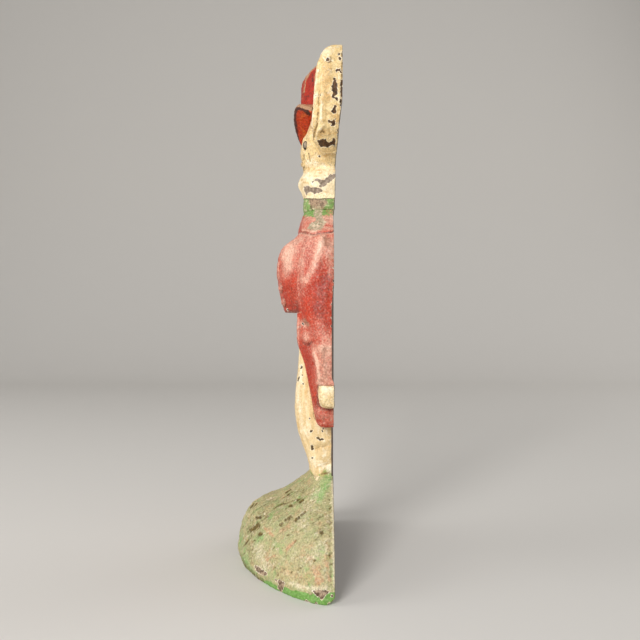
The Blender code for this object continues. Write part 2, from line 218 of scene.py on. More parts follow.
class Surface:
    """The points of a piece in millimetres and their normals, kept in step with its mesh."""

    def __init__(self, piece):
        self.piece = piece
        self.mesh = piece.data
        self.count = len(self.mesh.vertices)
        self.points = read_rows(self.mesh.vertices, "co", 3).astype(float) * 1000
        self.edges = read_rows(self.mesh.edges, "vertices", 2, np.int32)
        self.degree = np.bincount(self.edges.ravel(), minlength=self.count)
        self.store()

    def store(self):
        """Writes the points to the mesh and reads the new normals."""
        self.mesh.vertices.foreach_set("co", (self.points / 1000).astype(np.float32).ravel())
        self.mesh.update()
        self.normals = read_rows(self.mesh.vertex_normals, "vector", 3).astype(float)

    def push(self, amount):
        """Moves each point along its normal by so many millimetres."""
        self.points += self.normals * amount[:, None]
        self.store()

    def averaged(self, values, turns):
        """The values spread over the surface, by so many rounds of averaging with the neighbours."""
        a, b = self.edges.T
        for _ in range(turns):
            total = np.zeros_like(values)
            for column in range(values.shape[1]):
                total[:, column] = np.bincount(a, values[b, column], self.count)
                total[:, column] += np.bincount(b, values[a, column], self.count)
            values = 0.5 * values + 0.5 * total / self.degree[:, None]
        return values

    def relax(self, turns, where=1.0):
        """Smooths the surface, fully where the weight is 1."""
        change = self.averaged(self.points, turns) - self.points
        self.points += change * np.broadcast_to(where, self.count)[:, None]
        self.store()

    def grain(self, size, octaves=2, seed=0.0, stretch=(1.0, 1.0, 1.0)):
        """Noise of about -1 to 1 in lumps of so many millimetres, longer along a stretched axis."""
        return noise_at(self.points / (size * np.array(stretch)) + seed * 7.3, octaves)

    def blotches(self, amount, size, seed, stretch=(1.0, 1.0, 1.0)):
        """Soft patches of so many millimetres, with bare places between them."""
        return amount * step_between(0.0, 0.6, self.grain(size, 2, seed, stretch))

    def relief(self):
        """How far each point stands out from its smoothed surroundings, in millimetres."""
        smooth = self.averaged(self.points, 6)
        return ((self.points - smooth) * self.normals).sum(1)

    def picture(self):
        """Column and row in the picture of each point. The far side counts as its mirror image."""
        distance = CAMERA[0] - np.abs(self.points[:, 0])
        column = PICTURE / 2 + FOCAL * (self.points[:, 1] - CAMERA[1]) / distance
        row = PICTURE / 2 - FOCAL * (self.points[:, 2] - CAMERA[2]) / distance
        return np.column_stack([column, row])

    def side(self):
        """1 where the surface faces the side of the figure, 0 where it faces front, back, up or down."""
        return step_between(0.05, 0.4, np.sign(self.points[:, 0]) * self.normals[:, 0])

    def front(self):
        """1 where the surface faces forwards."""
        return step_between(0.1, 0.5, -self.normals[:, 1])

    def note(self, name, values):
        """Stores one value a point for the materials to read."""
        attribute = self.mesh.attributes.new(name, "FLOAT", "POINT")
        attribute.data.foreach_set("value", np.broadcast_to(values, self.count).astype(np.float32))


# %% Distances to strokes and patches
PIXEL = 0.47  # millimetres across a pixel at the near side of the figure


def distance_to_path(places, path):
    """From each place to the nearest point of a path."""
    nearest = np.full(len(places), np.inf)
    for start, end in zip(path, path[1:]):
        start, run = np.array(start, float), np.array(end, float) - start
        along = np.clip((places - start) @ run / (run @ run), 0.0, 1.0)
        gap = np.linalg.norm(places - start - along[:, None] * run, axis=1)
        nearest = np.minimum(nearest, gap)
    return nearest


def distance_to_patch(places, outline):
    """From each place to a closed outline, negative inside it."""
    closed = [*outline, outline[0]]
    inside = np.zeros(len(places), bool)
    for (x1, y1), (x2, y2) in zip(closed, closed[1:]):
        if y1 != y2:
            between = (places[:, 1] < y1) != (places[:, 1] < y2)
            inside ^= between & (places[:, 0] < x1 + (x2 - x1) * (places[:, 1] - y1) / (y2 - y1))
    edge = distance_to_path(places, closed)
    return np.where(inside, -edge, edge)


def spot(column, row, radius):
    """The outline of a round spot."""
    turns = [2 * math.pi * i / 8 for i in range(8)]
    return [(column + radius * math.cos(t), row + radius * math.sin(t)) for t in turns]


def strokes(places, paths):
    """The sum of soft strokes at each place. A stroke is (path, half width, amount)."""
    total = np.zeros(len(places))
    for path, width, amount in paths:
        total += amount * bell(distance_to_path(places, path), width)
    return total


def side_strokes(surface, paths):
    """Strokes drawn in pixels of the picture, on the side of the figure."""
    return strokes(surface.picture(), paths) * surface.side()


def front_strokes(surface, paths):
    """Strokes drawn in millimetres across and up, on the front, the same left and right."""
    places = np.column_stack([np.abs(surface.points[:, 0]), surface.points[:, 2]])
    return strokes(places, paths) * surface.front()


def side_patch(surface, outline):
    """1 inside an outline drawn in pixels on the side of the figure."""
    ragged = distance_to_patch(surface.picture(), outline) + surface.grain(1.6, 2, seed=12.0)
    return step_between(0.8, -0.8, ragged) * surface.side()


# %% [markdown]
# Finishing a cast skin.
#
# The sand grain goes in after the creases, and then the flakes: a chip is a shallow pit as deep as
# the paint. What faces the back, or lies in the hollows behind, was never painted. Every point
# then gets a few numbers that say how much of each layer of paint, dust and dirt is there, some of
# which paint highlight and shade, and the materials read them. A skin that carries two colours is
# cut level between them at the end, so that one form runs through both.

# %% Finish a cast skin
BACK_Y = 1000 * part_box("base_plinth")[1].y  # the flat back
LEAN = 1.2  # how far the neck leans back past it
PAINT = 0.16  # thickness of the old paint
PIT_WALL = (0.25, -0.15)  # from outside a chip's edge to inside it, where the pit goes down
FAR_SHIFT = 9.0  # the far side has the same chips, moved up by so many pixels
RAGGED = 0.45  # how far the edge of a chip wanders
FAR_FROM_CHIPS = 3.0  # a distance that stands for no chip at all
# A layer shows where its amount passes 0.5, so the ground of a chip reaches 0.12 mm past its edge
# and the pale rim 0.28 mm.
FLAKE_AT, RIM_AT = 0.62, 0.78
LOW_RELIEF, HIGH_RELIEF = 0.02, 0.14  # between these an edge is rubbed, and a crease filled, more and more
UNPAINTED = (0.7, 0.95)  # how squarely a point faces backwards where the paint runs out
SAND = 1.5  # the sand's lumps. Real ones are under 0.5 mm, and are drawn coarser to show
BACK_MARGIN = 0.5  # a point nearer to the flat back than this lies on the rim of a hollow, not in it
BOX_LOW, BOX_HIGH = 1000 * np.array(cad_low), 1000 * np.array(cad_high)
LEFT, RIGHT, BACKWARDS = Vector((-1, 0, 0)), Vector((1, 0, 0)), Vector((0, 1, 0))
sizes = {}
print("flat back at Y =", round(BACK_Y, 2), "mm")


def in_hollow(surface, low, high, reach):
    """1 between two heights, near the middle, where there are walls left and right and nothing behind."""
    polygons = [face.vertices for face in surface.mesh.polygons]
    tree = BVHTree.FromPolygons([vert.co for vert in surface.mesh.vertices], polygons)
    x, y, z = surface.points.T
    found = np.zeros(surface.count)
    for index in np.flatnonzero((np.abs(x) < reach) & (y < BACK_Y - BACK_MARGIN) & (z > low) & (z < high)):
        start = Vector(surface.points[index] + surface.normals[index]) * MM
        left, right, behind = (tree.ray_cast(start, way)[0] for way in (LEFT, RIGHT, BACKWARDS))
        found[index] = left is not None and right is not None and behind is None
    return found


def chip_edge(surface, outlines):
    """Millimetres from each point to the ragged edge of the nearest chip, negative inside it."""
    nearest = np.full(surface.count, FAR_FROM_CHIPS)
    if outlines:
        places = surface.picture()
        places[:, 1] += np.where(surface.points[:, 0] < 0, FAR_SHIFT, 0.0)
        for outline in outlines:
            nearest = np.minimum(nearest, distance_to_patch(places, outline) * PIXEL)
        nearest += RAGGED * surface.grain(1.3, 3, seed=2.0) + FAR_FROM_CHIPS * (1 - surface.side())
    return nearest


def finish_cast(
    surface, flakes=(), back=None, hollow=0.0, rough=0.07, edge_wear=0.3, edge_dirt=0.3, **layers
):
    """Adds sand grain and chips, keeps the skin in its box, and notes what covers each point."""
    edge = chip_edge(surface, flakes)
    surface.push(rough * surface.grain(SAND) - PAINT * step_between(*PIT_WALL, edge))
    surface.points = np.clip(surface.points, BOX_LOW, BOX_HIGH)
    if back is not None:
        surface.points[:, 1] = np.minimum(surface.points[:, 1], back)
    surface.store()
    relief = surface.relief()
    notes = {"wear": 0.0, "dirt": 0.0, "stain": 0.0, "other": 0.0, **layers}
    notes["wear"] = notes["wear"] + edge_wear * step_between(LOW_RELIEF, HIGH_RELIEF, relief)
    notes["dirt"] = notes["dirt"] + edge_dirt * step_between(LOW_RELIEF, HIGH_RELIEF, -relief)
    notes["flake"] = np.clip(FLAKE_AT - edge, 0.0, 1.0)
    notes["rim"] = np.clip(RIM_AT - edge, 0.0, 1.0)
    notes["bare"] = np.maximum(step_between(*UNPAINTED, surface.normals[:, 1]), hollow)
    for name, values in notes.items():
        surface.note(name, np.clip(values, 0.0, 1.0))
    surface.mesh.shade_smooth()


def cut_between(surface, name, low=None, high=None):
    """A closed copy of what lies between two heights in millimetres."""
    bm = bmesh.new()
    bm.from_mesh(surface.mesh)
    for height, above in ((low, True), (high, False)):
        if height is None:
            continue
        plane = {"plane_co": (0, 0, height * MM), "plane_no": (0, 0, 1), "dist": 1e-9}
        side = {"clear_inner": above, "clear_outer": not above}
        made = bmesh.ops.bisect_plane(bm, geom=[*bm.verts, *bm.edges, *bm.faces], **plane, **side)
        rim = [item for item in made["geom_cut"] if isinstance(item, bmesh.types.BMEdge)]
        for item in bmesh.ops.triangle_fill(bm, edges=rim, use_beauty=True)["geom"]:
            item.smooth = False
        for edge in rim:
            edge.smooth = False
    bmesh.ops.recalc_face_normals(bm, faces=bm.faces)
    mesh = bpy.data.meshes.new(name)
    bm.to_mesh(mesh)
    bm.free()
    return in_scene(name, mesh)


def dress(piece, material, nodes):
    """Gives a finished piece its material, hangs it on the root and hides the solids it takes the place of.
    """
    piece.data.materials.clear()
    piece.data.materials.append(material)
    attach(piece, "root")
    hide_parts(*nodes)
    sizes[piece.name] = sum(len(face.vertices) - 2 for face in piece.data.polygons)
    print(f"{piece.name}: {sizes[piece.name]} triangles")


# %% [markdown]
# Old enamel on cast iron.
#
# The paint is a brushed oil enamel: never even, a little darker where it pooled, chalky where
# it has weathered. It is built as a stack, in the order in which it came: paint in two close tones,
# dirt in the low places, stains, dust on the high ones, then the pale primer that shows as a thin
# rim round each chip, the chip itself and the bare iron of the back. The dirt layer also carries
# painted shade, the dust layer painted highlights, and the stain layer painted shade on the ear and
# a painted glow under the hat's brim. Each layer reads the amount that was noted at each point, and
# noise at a real size in millimetres breaks up its edge.
# One could paint all this on an image instead, but every skin would need a map for it, and a layer
# that is a formula can be changed with one number.

# %% Worn enamel
Layer = namedtuple("Layer", "attribute first second lumps ragged soft")

IRON = Layer("bare", "#4A3D33", "#6B4A33", 1.8, 0.5, 0.12)  # dark grey iron with dry rust
CHALKY = 0.32  # specular level: the chalky skin of old enamel mirrors less than fresh paint, at 0.5
MOTTLE, GRIT = 1.4, 0.8  # lumps in the paint, and sand grit, which is drawn coarser than it is to show
LAYER_SHIFT = 0.1  # metres between the noise of one layer and of the next, so that they don't repeat
BUMP_HEIGHT = 0.0002  # metres: what the geometry is too coarse to hold


def scale_of(millimetres):
    """The scale of a noise node on Object coordinates whose lumps are so many millimetres across."""
    return 1000.0 / millimetres


def enamel(name, first, second, layers, patches=8.0, speck=0.2, brushed=(1.0, 1.0, 1.0), gloss=0.5):
    """Brushed enamel in two tones under worn layers and painted light and shade. Semi-matt: its gloss comes
    in patches.
    """
    material = bpy.data.materials.new(name)
    material.use_nodes = True
    tree = material.node_tree
    shader = tree.nodes["Principled BSDF"]
    shader.inputs["Specular IOR Level"].default_value = CHALKY
    where = add_node(tree, "TexCoord", {}, "Object")
    along = add_node(tree, "Mapping", {"Vector": where, "Scale": brushed})
    patch = add_node(tree, "TexNoise", {"Vector": along, "Scale": scale_of(patches), "Detail": 5.0})
    mottle = add_node(tree, "TexNoise", {"Vector": where, "Scale": scale_of(MOTTLE), "Detail": 2.0})
    grit = add_node(tree, "TexNoise", {"Vector": where, "Scale": scale_of(GRIT), "Detail": 1.0})
    blend = add_node(tree, "MapRange", {0: patch, 1: 0.38, 2: 0.62})
    two_tone = add_node(tree, "MapRange", {0: mottle, 1: 0.36, 2: 0.64})
    tones = {0: blend, 6: hex_colour(first), 7: hex_colour(second)}
    colour = add_node(tree, "Mix", tones, 2, data_type="RGBA")

    for number, layer in enumerate(layers):
        aside = (LAYER_SHIFT * number, 0.0, 0.0)
        offset = add_node(tree, "Mapping", {"Vector": where, "Location": aside})
        lumps = {"Vector": offset, "Scale": scale_of(layer.lumps), "Detail": 2.0}
        broken = add_node(tree, "TexNoise", lumps)
        amount = add_node(tree, "Attribute", {}, "Fac", attribute_name=layer.attribute)
        cover = add_node(tree, "Math", {0: broken, 1: layer.ragged, 2: amount}, operation="MULTIPLY_ADD")
        middle = 0.5 + 0.5 * layer.ragged
        limits = {0: cover, 1: middle - layer.soft, 2: middle + layer.soft}
        cover = add_node(tree, "MapRange", limits, interpolation_type="SMOOTHSTEP")
        tones = {0: two_tone, 6: hex_colour(layer.first), 7: hex_colour(layer.second)}
        tone = add_node(tree, "Mix", tones, 2, data_type="RGBA")
        colour = add_node(tree, "Mix", {0: cover, 6: colour, 7: tone}, 2, data_type="RGBA")

    shade = add_node(tree, "MapRange", {0: grit, 1: 0.32, 2: 0.6, 3: 1 - speck, 4: 1 + 0.3 * speck})
    specked = {0: 1.0, 6: colour, 7: shade}
    colour = add_node(tree, "Mix", specked, 2, data_type="RGBA", blend_type="MULTIPLY")
    tree.links.new(colour, shader.inputs["Base Color"])
    sheen = add_node(tree, "MapRange", {0: mottle, 1: 0.3, 2: 0.7, 3: gloss - 0.08, 4: gloss + 0.18})
    tree.links.new(sheen, shader.inputs["Roughness"])
    height = add_node(tree, "Math", {0: mottle, 1: grit}, operation="ADD")
    bump = add_node(tree, "Bump", {"Height": height, "Strength": 0.5, "Distance": BUMP_HEIGHT})
    tree.links.new(bump, shader.inputs["Normal"])
    print(f"{name}: {len(layers)} worn layers")
    return material


# %% [markdown]
# The mound, its plinth and the trousers.
#
# Grass on such castings is a few dozen slanting cuts of the pattern maker's knife, blurred by paint.
# They run up and back on both sides. Noise that is drawn out along the slant makes most of them at
# once, and strokes add the deep ones that the photograph shows. Plinth, mound and legs flow into
# each other, so they are skinned and sculpted as one. The trousers have soft creases at the knee
# and the ankle, and the brush ran down the leg.

# %% Shape of the mound and the legs
PLINTH_CUT = 1000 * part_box("base_plinth")[1].z + 1.0  # just above the floor of the hollow
MOUND_TOP = 1000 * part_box("grass_mound")[1].z + 0.5
MOUND_HOLLOW = (4.0, MOUND_TOP - 4, 60.0)  # its lowest and highest point and half its width
STAND_NODES = ["base_plinth", "grass_mound", "left_trouser_leg", "right_trouser_leg"]
SHOULDER_Y, SHOULDER_WIDTH, SHOULDER_DROP = -5.0, 10.5, 1.6  # a dip in the top of the mound
SHOULDER_FROM = (24.0, 34.0)  # the dip comes in between these heights
TOP_BLEND = 1.8  # how far up and down the legs and the mound are blended
GRASS_FROM = (4.5, 8.0)  # the cuts come in between these heights, above the plinth
SLANT = math.radians(38)  # how steeply the cuts rise towards the back
CUT_LENGTH, CUT_WIDTH = 7.0, 1.9
SUNK = 0.3  # the cuts go in further than the blades stand out

GRASS_STROKES = [
    ([(331, 482), (314, 510), (292, 547), (280, 570)], 5.0, 0.4),
    ([(300, 508), (276, 530), (264, 548)], 4.0, -0.4),
    ([(326, 502), (308, 540), (300, 582)], 6.0, -0.35),
    ([(264, 545), (270, 562), (290, 578)], 4.0, 0.3),
    ([(329.3, 492), (330, 545), (331, 584)], 1.2, -0.2),
    ([(285.1, 550.8), (291, 545), (295.3, 541)], 1.1, -0.4),
]
GRASS_CUTS = [
    ([(286.1, 492.7), (290.7, 489.1)], 0.9, -0.7),
    ([(288.5, 495.3), (289.6, 495.1)], 1.0, -0.6),
    ([(289.2, 506.4), (291.5, 505.4)], 0.8, -0.5),
    ([(299.9, 502.3), (303.5, 499.8)], 0.8, -0.5),
    ([(280, 524.8), (282.5, 523.1)], 0.9, -0.7),
    ([(285.1, 520.2), (291.2, 516.6)], 1.0, -0.8),
    ([(295.6, 520.6), (296.6, 519.0), (299.4, 517.1)], 1.0, -0.9),
    ([(301.2, 515.3), (305, 511.5)], 0.9, -0.8),
    ([(252.4, 529.6), (255.5, 527.5), (258, 525.6)], 1.9, -0.7),
    ([(257.5, 518), (260.5, 517.4)], 1.3, -0.5),
    ([(252, 507), (256, 504)], 2.0, -0.5),
    ([(259.6, 534.2), (260.8, 533.8)], 1.4, -0.4),
    ([(321.3, 532.6), (322.3, 532.2)], 1.0, -0.4),
    ([(314.3, 560.6), (315.1, 560.2)], 0.8, -0.4),
]
TROUSER_STROKES = [
    ([(313, 450), (320, 446.5), (332, 445.5)], 1.8, -0.5),
    ([(312, 443), (322, 441), (332, 440)], 2.2, 0.3),
    ([(317, 468.5), (324, 465.5), (332, 463)], 1.5, -0.5),
    ([(314, 458), (322, 456), (332, 455)], 3.0, 0.3),
    ([(303, 372), (302, 400), (309, 440)], 3.0, 0.3),
]
INSEAM = [([(0.0, 48.0), (0.0, 128.0)], 1.6, -1.0)]

stand = Surface(skinned("stand", STAND_NODES, voxel=0.53))
hollow = in_hollow(stand, *MOUND_HOLLOW)
dip = bell(stand.points[:, 1] - SHOULDER_Y, SHOULDER_WIDTH)
stand.points[:, 2] -= SHOULDER_DROP * dip * step_between(*SHOULDER_FROM, stand.points[:, 2])
stand.relax(4)
height = stand.points[:, 2]
stand.relax(12, bell(height - MOUND_TOP, TOP_BLEND) * (1 - hollow))
across = 0.8 * (np.abs(stand.points[:, 0]) + stand.points[:, 1])
along_cut = across * math.cos(SLANT) + height * math.sin(SLANT)
over_cut = height * math.cos(SLANT) - across * math.sin(SLANT)
cut_places = np.column_stack([along_cut / CUT_LENGTH, over_cut / CUT_WIDTH, np.zeros(stand.count)])
cuts = noise_at(cut_places, 2)
outside = step_between(0.3, 0.0, stand.normals[:, 1]) * (1 - hollow)
grassy = outside * step_between(*GRASS_FROM, height) * step_between(MOUND_TOP + 1, MOUND_TOP - 3, height)
clothed = outside * step_between(MOUND_TOP - 1, MOUND_TOP + 2, height)
lumps = 0.34 * cuts + 0.26 * stand.grain(6.0) + 0.2 * stand.grain(2.2) - SUNK
streaks = stand.grain(1.3, 2, stretch=(1, 1, 8))
weave = 0.14 * streaks + 0.12 * stand.grain(5.0) + front_strokes(stand, INSEAM)
sculpted = grassy * lumps + clothed * weave
sculpted += outside * side_strokes(stand, GRASS_STROKES + GRASS_CUTS + TROUSER_STROKES)
stand.push(sculpted)
print("carving on the stand, in mm:", round(float(sculpted.min()), 2), "to", round(float(sculpted.max()), 2))

# %% [markdown]
# Paint of the mound.
#
# The grass is a soft khaki of many small touches, with brown earth left in the cuts and a pinkish
# primer coming through below. A band of brighter green was brushed round the foot, lower
# in front than at the back. The cream of the trousers runs down on to the mound in a point.
# Painted shade darkens the upper front slope and the front of the foot, and a painted light
# brightens the diagonal ridge and the facet towards the back.

# %% Grass paint
grass_paint = enamel(
    "green_oil_enamel", "#BBAE80", "#A7A877",
    [
        Layer("stain", "#C0946C", "#C9A47E", 1.3, 1.2, 0.5),
        Layer("other", "#83AB60", "#92B070", 1.8, 1.0, 0.4),
        # earth and dirt, and painted shade on the front slope and the front of the foot
        Layer("dirt", "#53441F", "#75622F", 1.1, 1.1, 0.4),
        # pale wear, and painted light on the ridge and the facet towards the back
        Layer("wear", "#DDD2B0", "#D2C2A2", 0.9, 1.3, 0.5),
        Layer("band", "#6F9E48", "#83AA60", 1.4, 0.9, 0.18),
        Layer("cream", "#F0DAB0", "#DDC79A", 1.2, 0.8, 0.14),
        Layer("rim", "#F6EBD6", "#DCC8AA", 0.8, 1.0, 0.1),
        Layer("flake", "#5A4430", "#B29A80", 0.8, 1.0, 0.1),
        IRON,
    ],
    patches=4.0, speck=0.29, gloss=0.55,
)

# %% Where the grass paint lies
BAND_FRONT, BAND_RISE = 0.3, 0.108  # height of the bright band in front, and its rise for a millimetre back
# The first stroke is painted shade along the front of the foot, the second dirt in the back corner.
BAND_SHADE_AND_DIRT = [
    ([(236, 552), (246, 570), (262, 582)], 3.5, 0.75),
    ([(330, 604), (335.5, 600), (336.5, 592)], 1.6, 0.8),
]
TROUSER_POINT = [
    (308, 466), (311, 471), (316.8, 482.5), (319, 477.5), (321, 475), (325, 474), (329, 472.5), (336, 470),
    (336, 460),
]
EARTH_IN_CUTS = [(path, width + 0.15, 1.15) for path, width, _ in GRASS_CUTS]
# Earth in the cuts and dirt, and painted shade: the broad stroke over the upper front slope and the one down
# the front of the foot.
EARTH_AND_SHADE = [
    *EARTH_IN_CUTS,
    *BAND_SHADE_AND_DIRT,
    ([(300, 492), (272, 505), (252, 530)], 11.0, 0.3),
    ([(273.9, 508), (290, 502), (304.5, 497.8)], 0.6, 0.3),
    ([(278, 512), (294, 505)], 0.6, 0.35),
    ([(248, 545), (252, 556)], 4.0, 0.25),
    ([(329.5, 500), (330, 545), (331, 582)], 0.9, 0.15),
    ([(318, 506), (322, 540)], 4.0, 0.2),
    ([(262, 583), (275, 592), (300, 602), (326, 606)], 1.2, 0.4),
    ([(300, 560), (296, 575)], 1.0, 0.3),
    ([(306, 598), (316, 601)], 3.5, 0.5),
]
# Pale paint and dots, and painted light on the diagonal ridge and the facet below it towards the back.
PALE_GRASS_AND_LIGHT = [
    ([(333.5, 482), (334.5, 540), (335.5, 585)], 2.4, 0.6),
    ([(258, 548), (261, 558), (266, 567)], 5.5, 0.5),
    ([(290, 583), (304, 587.5), (326, 588.5)], 2.4, 0.7),
    ([(300, 524), (306, 507), (318, 492)], 5.0, 0.4),
    ([(306, 560), (322, 548)], 7.0, 0.3),
    ([(264, 502), (271, 498.5)], 2.4, 0.6),
    ([(264.2, 514), (264.9, 514)], 0.9, 1.1),
    ([(273.4, 493.9), (274.4, 493.5)], 0.9, 1.1),
    ([(292.8, 489.4), (293.6, 489.2)], 0.9, 1.1),
]
PINK_GRASS = [
    ([(285.1, 550.8), (291, 545), (295.3, 541)], 1.3, 0.9),
    ([(265.7, 529.4), (272.9, 535.5)], 1.8, 0.85),
    ([(281, 531), (289, 527)], 2.6, 0.6),
    ([(266.7, 560), (273.9, 556)], 1.4, 0.75),
    ([(272, 566), (300, 578), (320, 582)], 6.0, 0.4),
    ([(327, 545), (328.5, 580)], 2.2, 0.5),
    ([(308, 560), (318, 575)], 6.0, 0.4),
    ([(252, 506), (262, 500)], 2.5, 0.45),
    ([(296, 585), (304, 588)], 1.4, 0.5),
]
GREEN_GRASS = [
    ([(330, 477), (325, 488), (318, 499)], 5.0, 0.7),
    ([(256, 540), (263, 534)], 5.0, 0.5),
    ([(240, 535), (242, 562), (252, 572)], 5.0, 0.55),
    ([(335.5, 556), (336, 590)], 2.5, 0.6),
    ([(270, 515), (290, 505)], 5.0, 0.3),
    ([(296, 505), (300, 512)], 4.0, 0.3),
]
GRASS_CHIPS = [
    [(254.5, 566), (258, 566.5), (262, 570), (266.8, 573.5), (265.5, 575.5), (260, 573.5), (256, 570.5)],
    [(275, 579.4), (280, 580), (284, 583), (283.5, 588), (281.5, 592), (278, 588), (279, 584)],
    [(311.6, 590.6), (320, 590.2), (330, 591.2), (326, 595), (321.8, 599.2), (316, 595)],
    spot(306, 601.5, 1.0), spot(309, 602.5, 0.8), spot(316, 604, 0.9), spot(332, 596, 1.0),
    spot(329, 603.5, 1.1),
]

level = BAND_FRONT + BAND_RISE * (stand.points[:, 1] - BOX_LOW[1])
uneven = 0.8 * stand.grain(5.0, seed=1.0) + 0.3 * stand.grain(1.6, seed=1.0)
band = step_between(0.7, -0.7, height - level + uneven) * (1 - side_strokes(stand, BAND_SHADE_AND_DIRT))
point = side_patch(stand, TROUSER_POINT)
streaky = 0.22 * step_between(0.1, 0.6, -cuts) + stand.blotches(0.18, 3.0, 4.0)
in_cuts = np.clip(side_strokes(stand, EARTH_IN_CUTS), 0.0, 1.0)
grass = {
    "wear": (1 - in_cuts) * (side_strokes(stand, PALE_GRASS_AND_LIGHT) + stand.blotches(0.3, 2.5, 3.0)),
    "dirt": (1 - point) * (side_strokes(stand, EARTH_AND_SHADE) + streaky),
    "stain": side_strokes(stand, PINK_GRASS) + stand.blotches(0.4, 4.0, 6.0),
    "other": side_strokes(stand, GREEN_GRASS) + stand.blotches(0.4, 6.0, 5.0),
}

# %% [markdown]
# Paint of the trousers.
#
# The two tones of the cream are drawn out eight times as long as they are wide, because the brush
# ran down the leg. Small chips show dark iron, and green specks mark where the grass was painted
# against the cloth.

# %% Cream paint
CREAM_LAYERS = [
    Layer("other", "#A8A562", "#8FA863", 1.1, 1.2, 0.25),
    # ochre stains; on the head this layer also paints shade down the ear's front lip
    Layer("stain", "#CDA468", "#D9B67C", 1.6, 1.0, 0.45),
    Layer("dirt", "#7D6238", "#9A7C4C", 1.0, 1.0, 0.35),
    # pale wear; on the head it also paints a glint beside the pit near the ear's tip
    Layer("wear", "#FFF4DA", "#FAE9C6", 1.0, 1.0, 0.45),
    Layer("rim", "#FFF6DE", "#F2DDB4", 0.7, 1.0, 0.1),
]
brushed_cream = enamel(
    "cream_enamel_brushed_down", "#ECD2A2", "#DCBE8A",
    [*CREAM_LAYERS, Layer("flake", "#4A3A28", "#6B5436", 0.7, 0.6, 0.1), IRON],
    patches=2.0, speck=0.12, brushed=(1.0, 1.0, 0.12), gloss=0.48,
)
plain_cream = enamel(
    "cream_oil_enamel", "#ECD29C", "#E0C188",
    [*CREAM_LAYERS, Layer("flake", "#3A2614", "#6A4A2A", 0.8, 0.6, 0.12), IRON],
    patches=4.0, speck=0.24, gloss=0.46,
)

# %% Where the trouser paint lies
TROUSER_CHIPS = [
    [(300.6, 364.5), (302, 365), (302, 368.5), (300.8, 368.8)], spot(302.3, 375, 0.7),
    [(298, 377), (299.4, 377), (299, 381), (297.6, 381)], spot(303.2, 383.5, 0.9), spot(304.4, 388, 0.7),
    spot(309.5, 419, 0.9), spot(311.3, 431.3, 1.1),
    [(321.5, 431), (323.5, 428.5), (324.2, 429.5), (322.5, 431.8)],
    [(311.2, 446), (313, 446), (313, 449.8), (311.4, 450)], spot(312, 458, 0.8), spot(307, 371.5, 0.5),
    [(316, 437.5), (318.5, 437.2), (320, 438.8), (323, 438.4), (323.4, 440), (320, 440.4), (318, 439)],
]
TROUSER_STAIN = [
    ([(306, 380), (304, 410), (309, 440)], 2.2, 0.35),
    ([(298, 395), (298, 425), (306, 450)], 1.6, 0.4),
    ([(318, 466), (330, 462)], 3.0, 0.5),
    ([(316, 449), (330, 447)], 2.0, 0.45),
    ([(326, 426), (330, 450)], 3.0, 0.25),
]
TROUSER_DIRT = [
    ([(322, 474), (333, 471.5)], 1.4, 0.75),
    ([(323, 469), (327, 467.5)], 1.0, 0.5),
    ([(313, 450), (320, 446.7), (326, 446)], 0.9, 0.45),
    ([(318, 468.5), (324, 466)], 0.9, 0.4),
    ([(300.5, 352), (304.5, 361), (309, 383), (312, 398), (314, 417), (318, 423.5)], 0.9, 0.6),
]
GREEN_FRINGE = [([(319, 477), (324, 474.5), (331, 473)], 2.4, 1.1), ([(324, 471), (332, 468)], 1.8, 0.6)]
TROUSER_PALE = [([(301, 365), (298, 400), (303, 430)], 2.6, 0.4), ([(314, 462), (330, 468)], 4.0, 0.5)]

cloth = {
    "wear": side_strokes(stand, TROUSER_PALE) + stand.blotches(0.4, 2.0, 3.0, (1, 1, 5)),
    "dirt": side_strokes(stand, TROUSER_DIRT),
    "stain": side_strokes(stand, TROUSER_STAIN) + stand.blotches(0.35, 1.3, 0.0, (1, 1, 8)),
    "other": side_strokes(stand, GREEN_FRINGE) + (1 - point) * stand.side() * (height < MOUND_TOP + 4),
}

# %% Finish the mound and the legs
LEG_SIDE = (13.0, 20.0)  # the back of a leg turns forwards between these distances from the middle
FOOT_ROUND, CORNER_ROUND = 1.2, 2.6  # how far the lower back edge is rounded, and more at its worn ends
PLINTH_END = (44.0, 56.0)  # where those ends begin and are full

above = height > MOUND_TOP
half_width = np.abs(stand.points[:, 0])
set_in = above * step_between(*LEG_SIDE, half_width) + FOOT_ROUND * step_between(3.0, 0.0, height) ** 2
set_in += CORNER_ROUND * step_between(5.0, 0.0, height) ** 2 * step_between(*PLINTH_END, half_width)
finish_cast(
    stand, flakes=GRASS_CHIPS + TROUSER_CHIPS, back=BACK_Y - set_in, hollow=hollow, rough=0.12,
    edge_wear=np.where(above, 0.3, 0.4), edge_dirt=np.where(above, 0.15, 0.4), band=band, cream=point,
    **{name: np.where(above, cloth[name], grass[name]) for name in grass},
)
dress(cut_between(stand, "painted_plinth", high=PLINTH_CUT), grass_paint, ["base_plinth"])
mound = cut_between(stand, "mound_of_grass", low=PLINTH_CUT, high=MOUND_TOP)
dress(mound, grass_paint, ["grass_mound"])
trousers = cut_between(stand, "cream_trousers", low=MOUND_TOP)
dress(trousers, brushed_cream, ["left_trouser_leg", "right_trouser_leg"])
bpy.data.objects.remove(stand.piece)

# %% [markdown]
# The red tailcoat.
#
# Belly, shoulders, sleeves and tails are one flowing form in the iron, so they get one skin. The
# upper arm is a soft slanting ridge, the belly ends in a sharp undercut, and a round knob sits on
# the hip. The red was thin, and pale dust has settled in it: on the ridges, on the shoulders and
# down the sleeve. The same pale layer also paints highlights on the belly, the arm ridge, the knob
# and the sleeve ridge. It stays deep red round the waist, with the grain of the sand showing
# through, and painted shade darkens the valleys beside the arm, the undercut, the hem of the cape,
# a crescent under the knob and the tail round the paw. The green of the collar was brushed a
# little way down over the top of the coat.

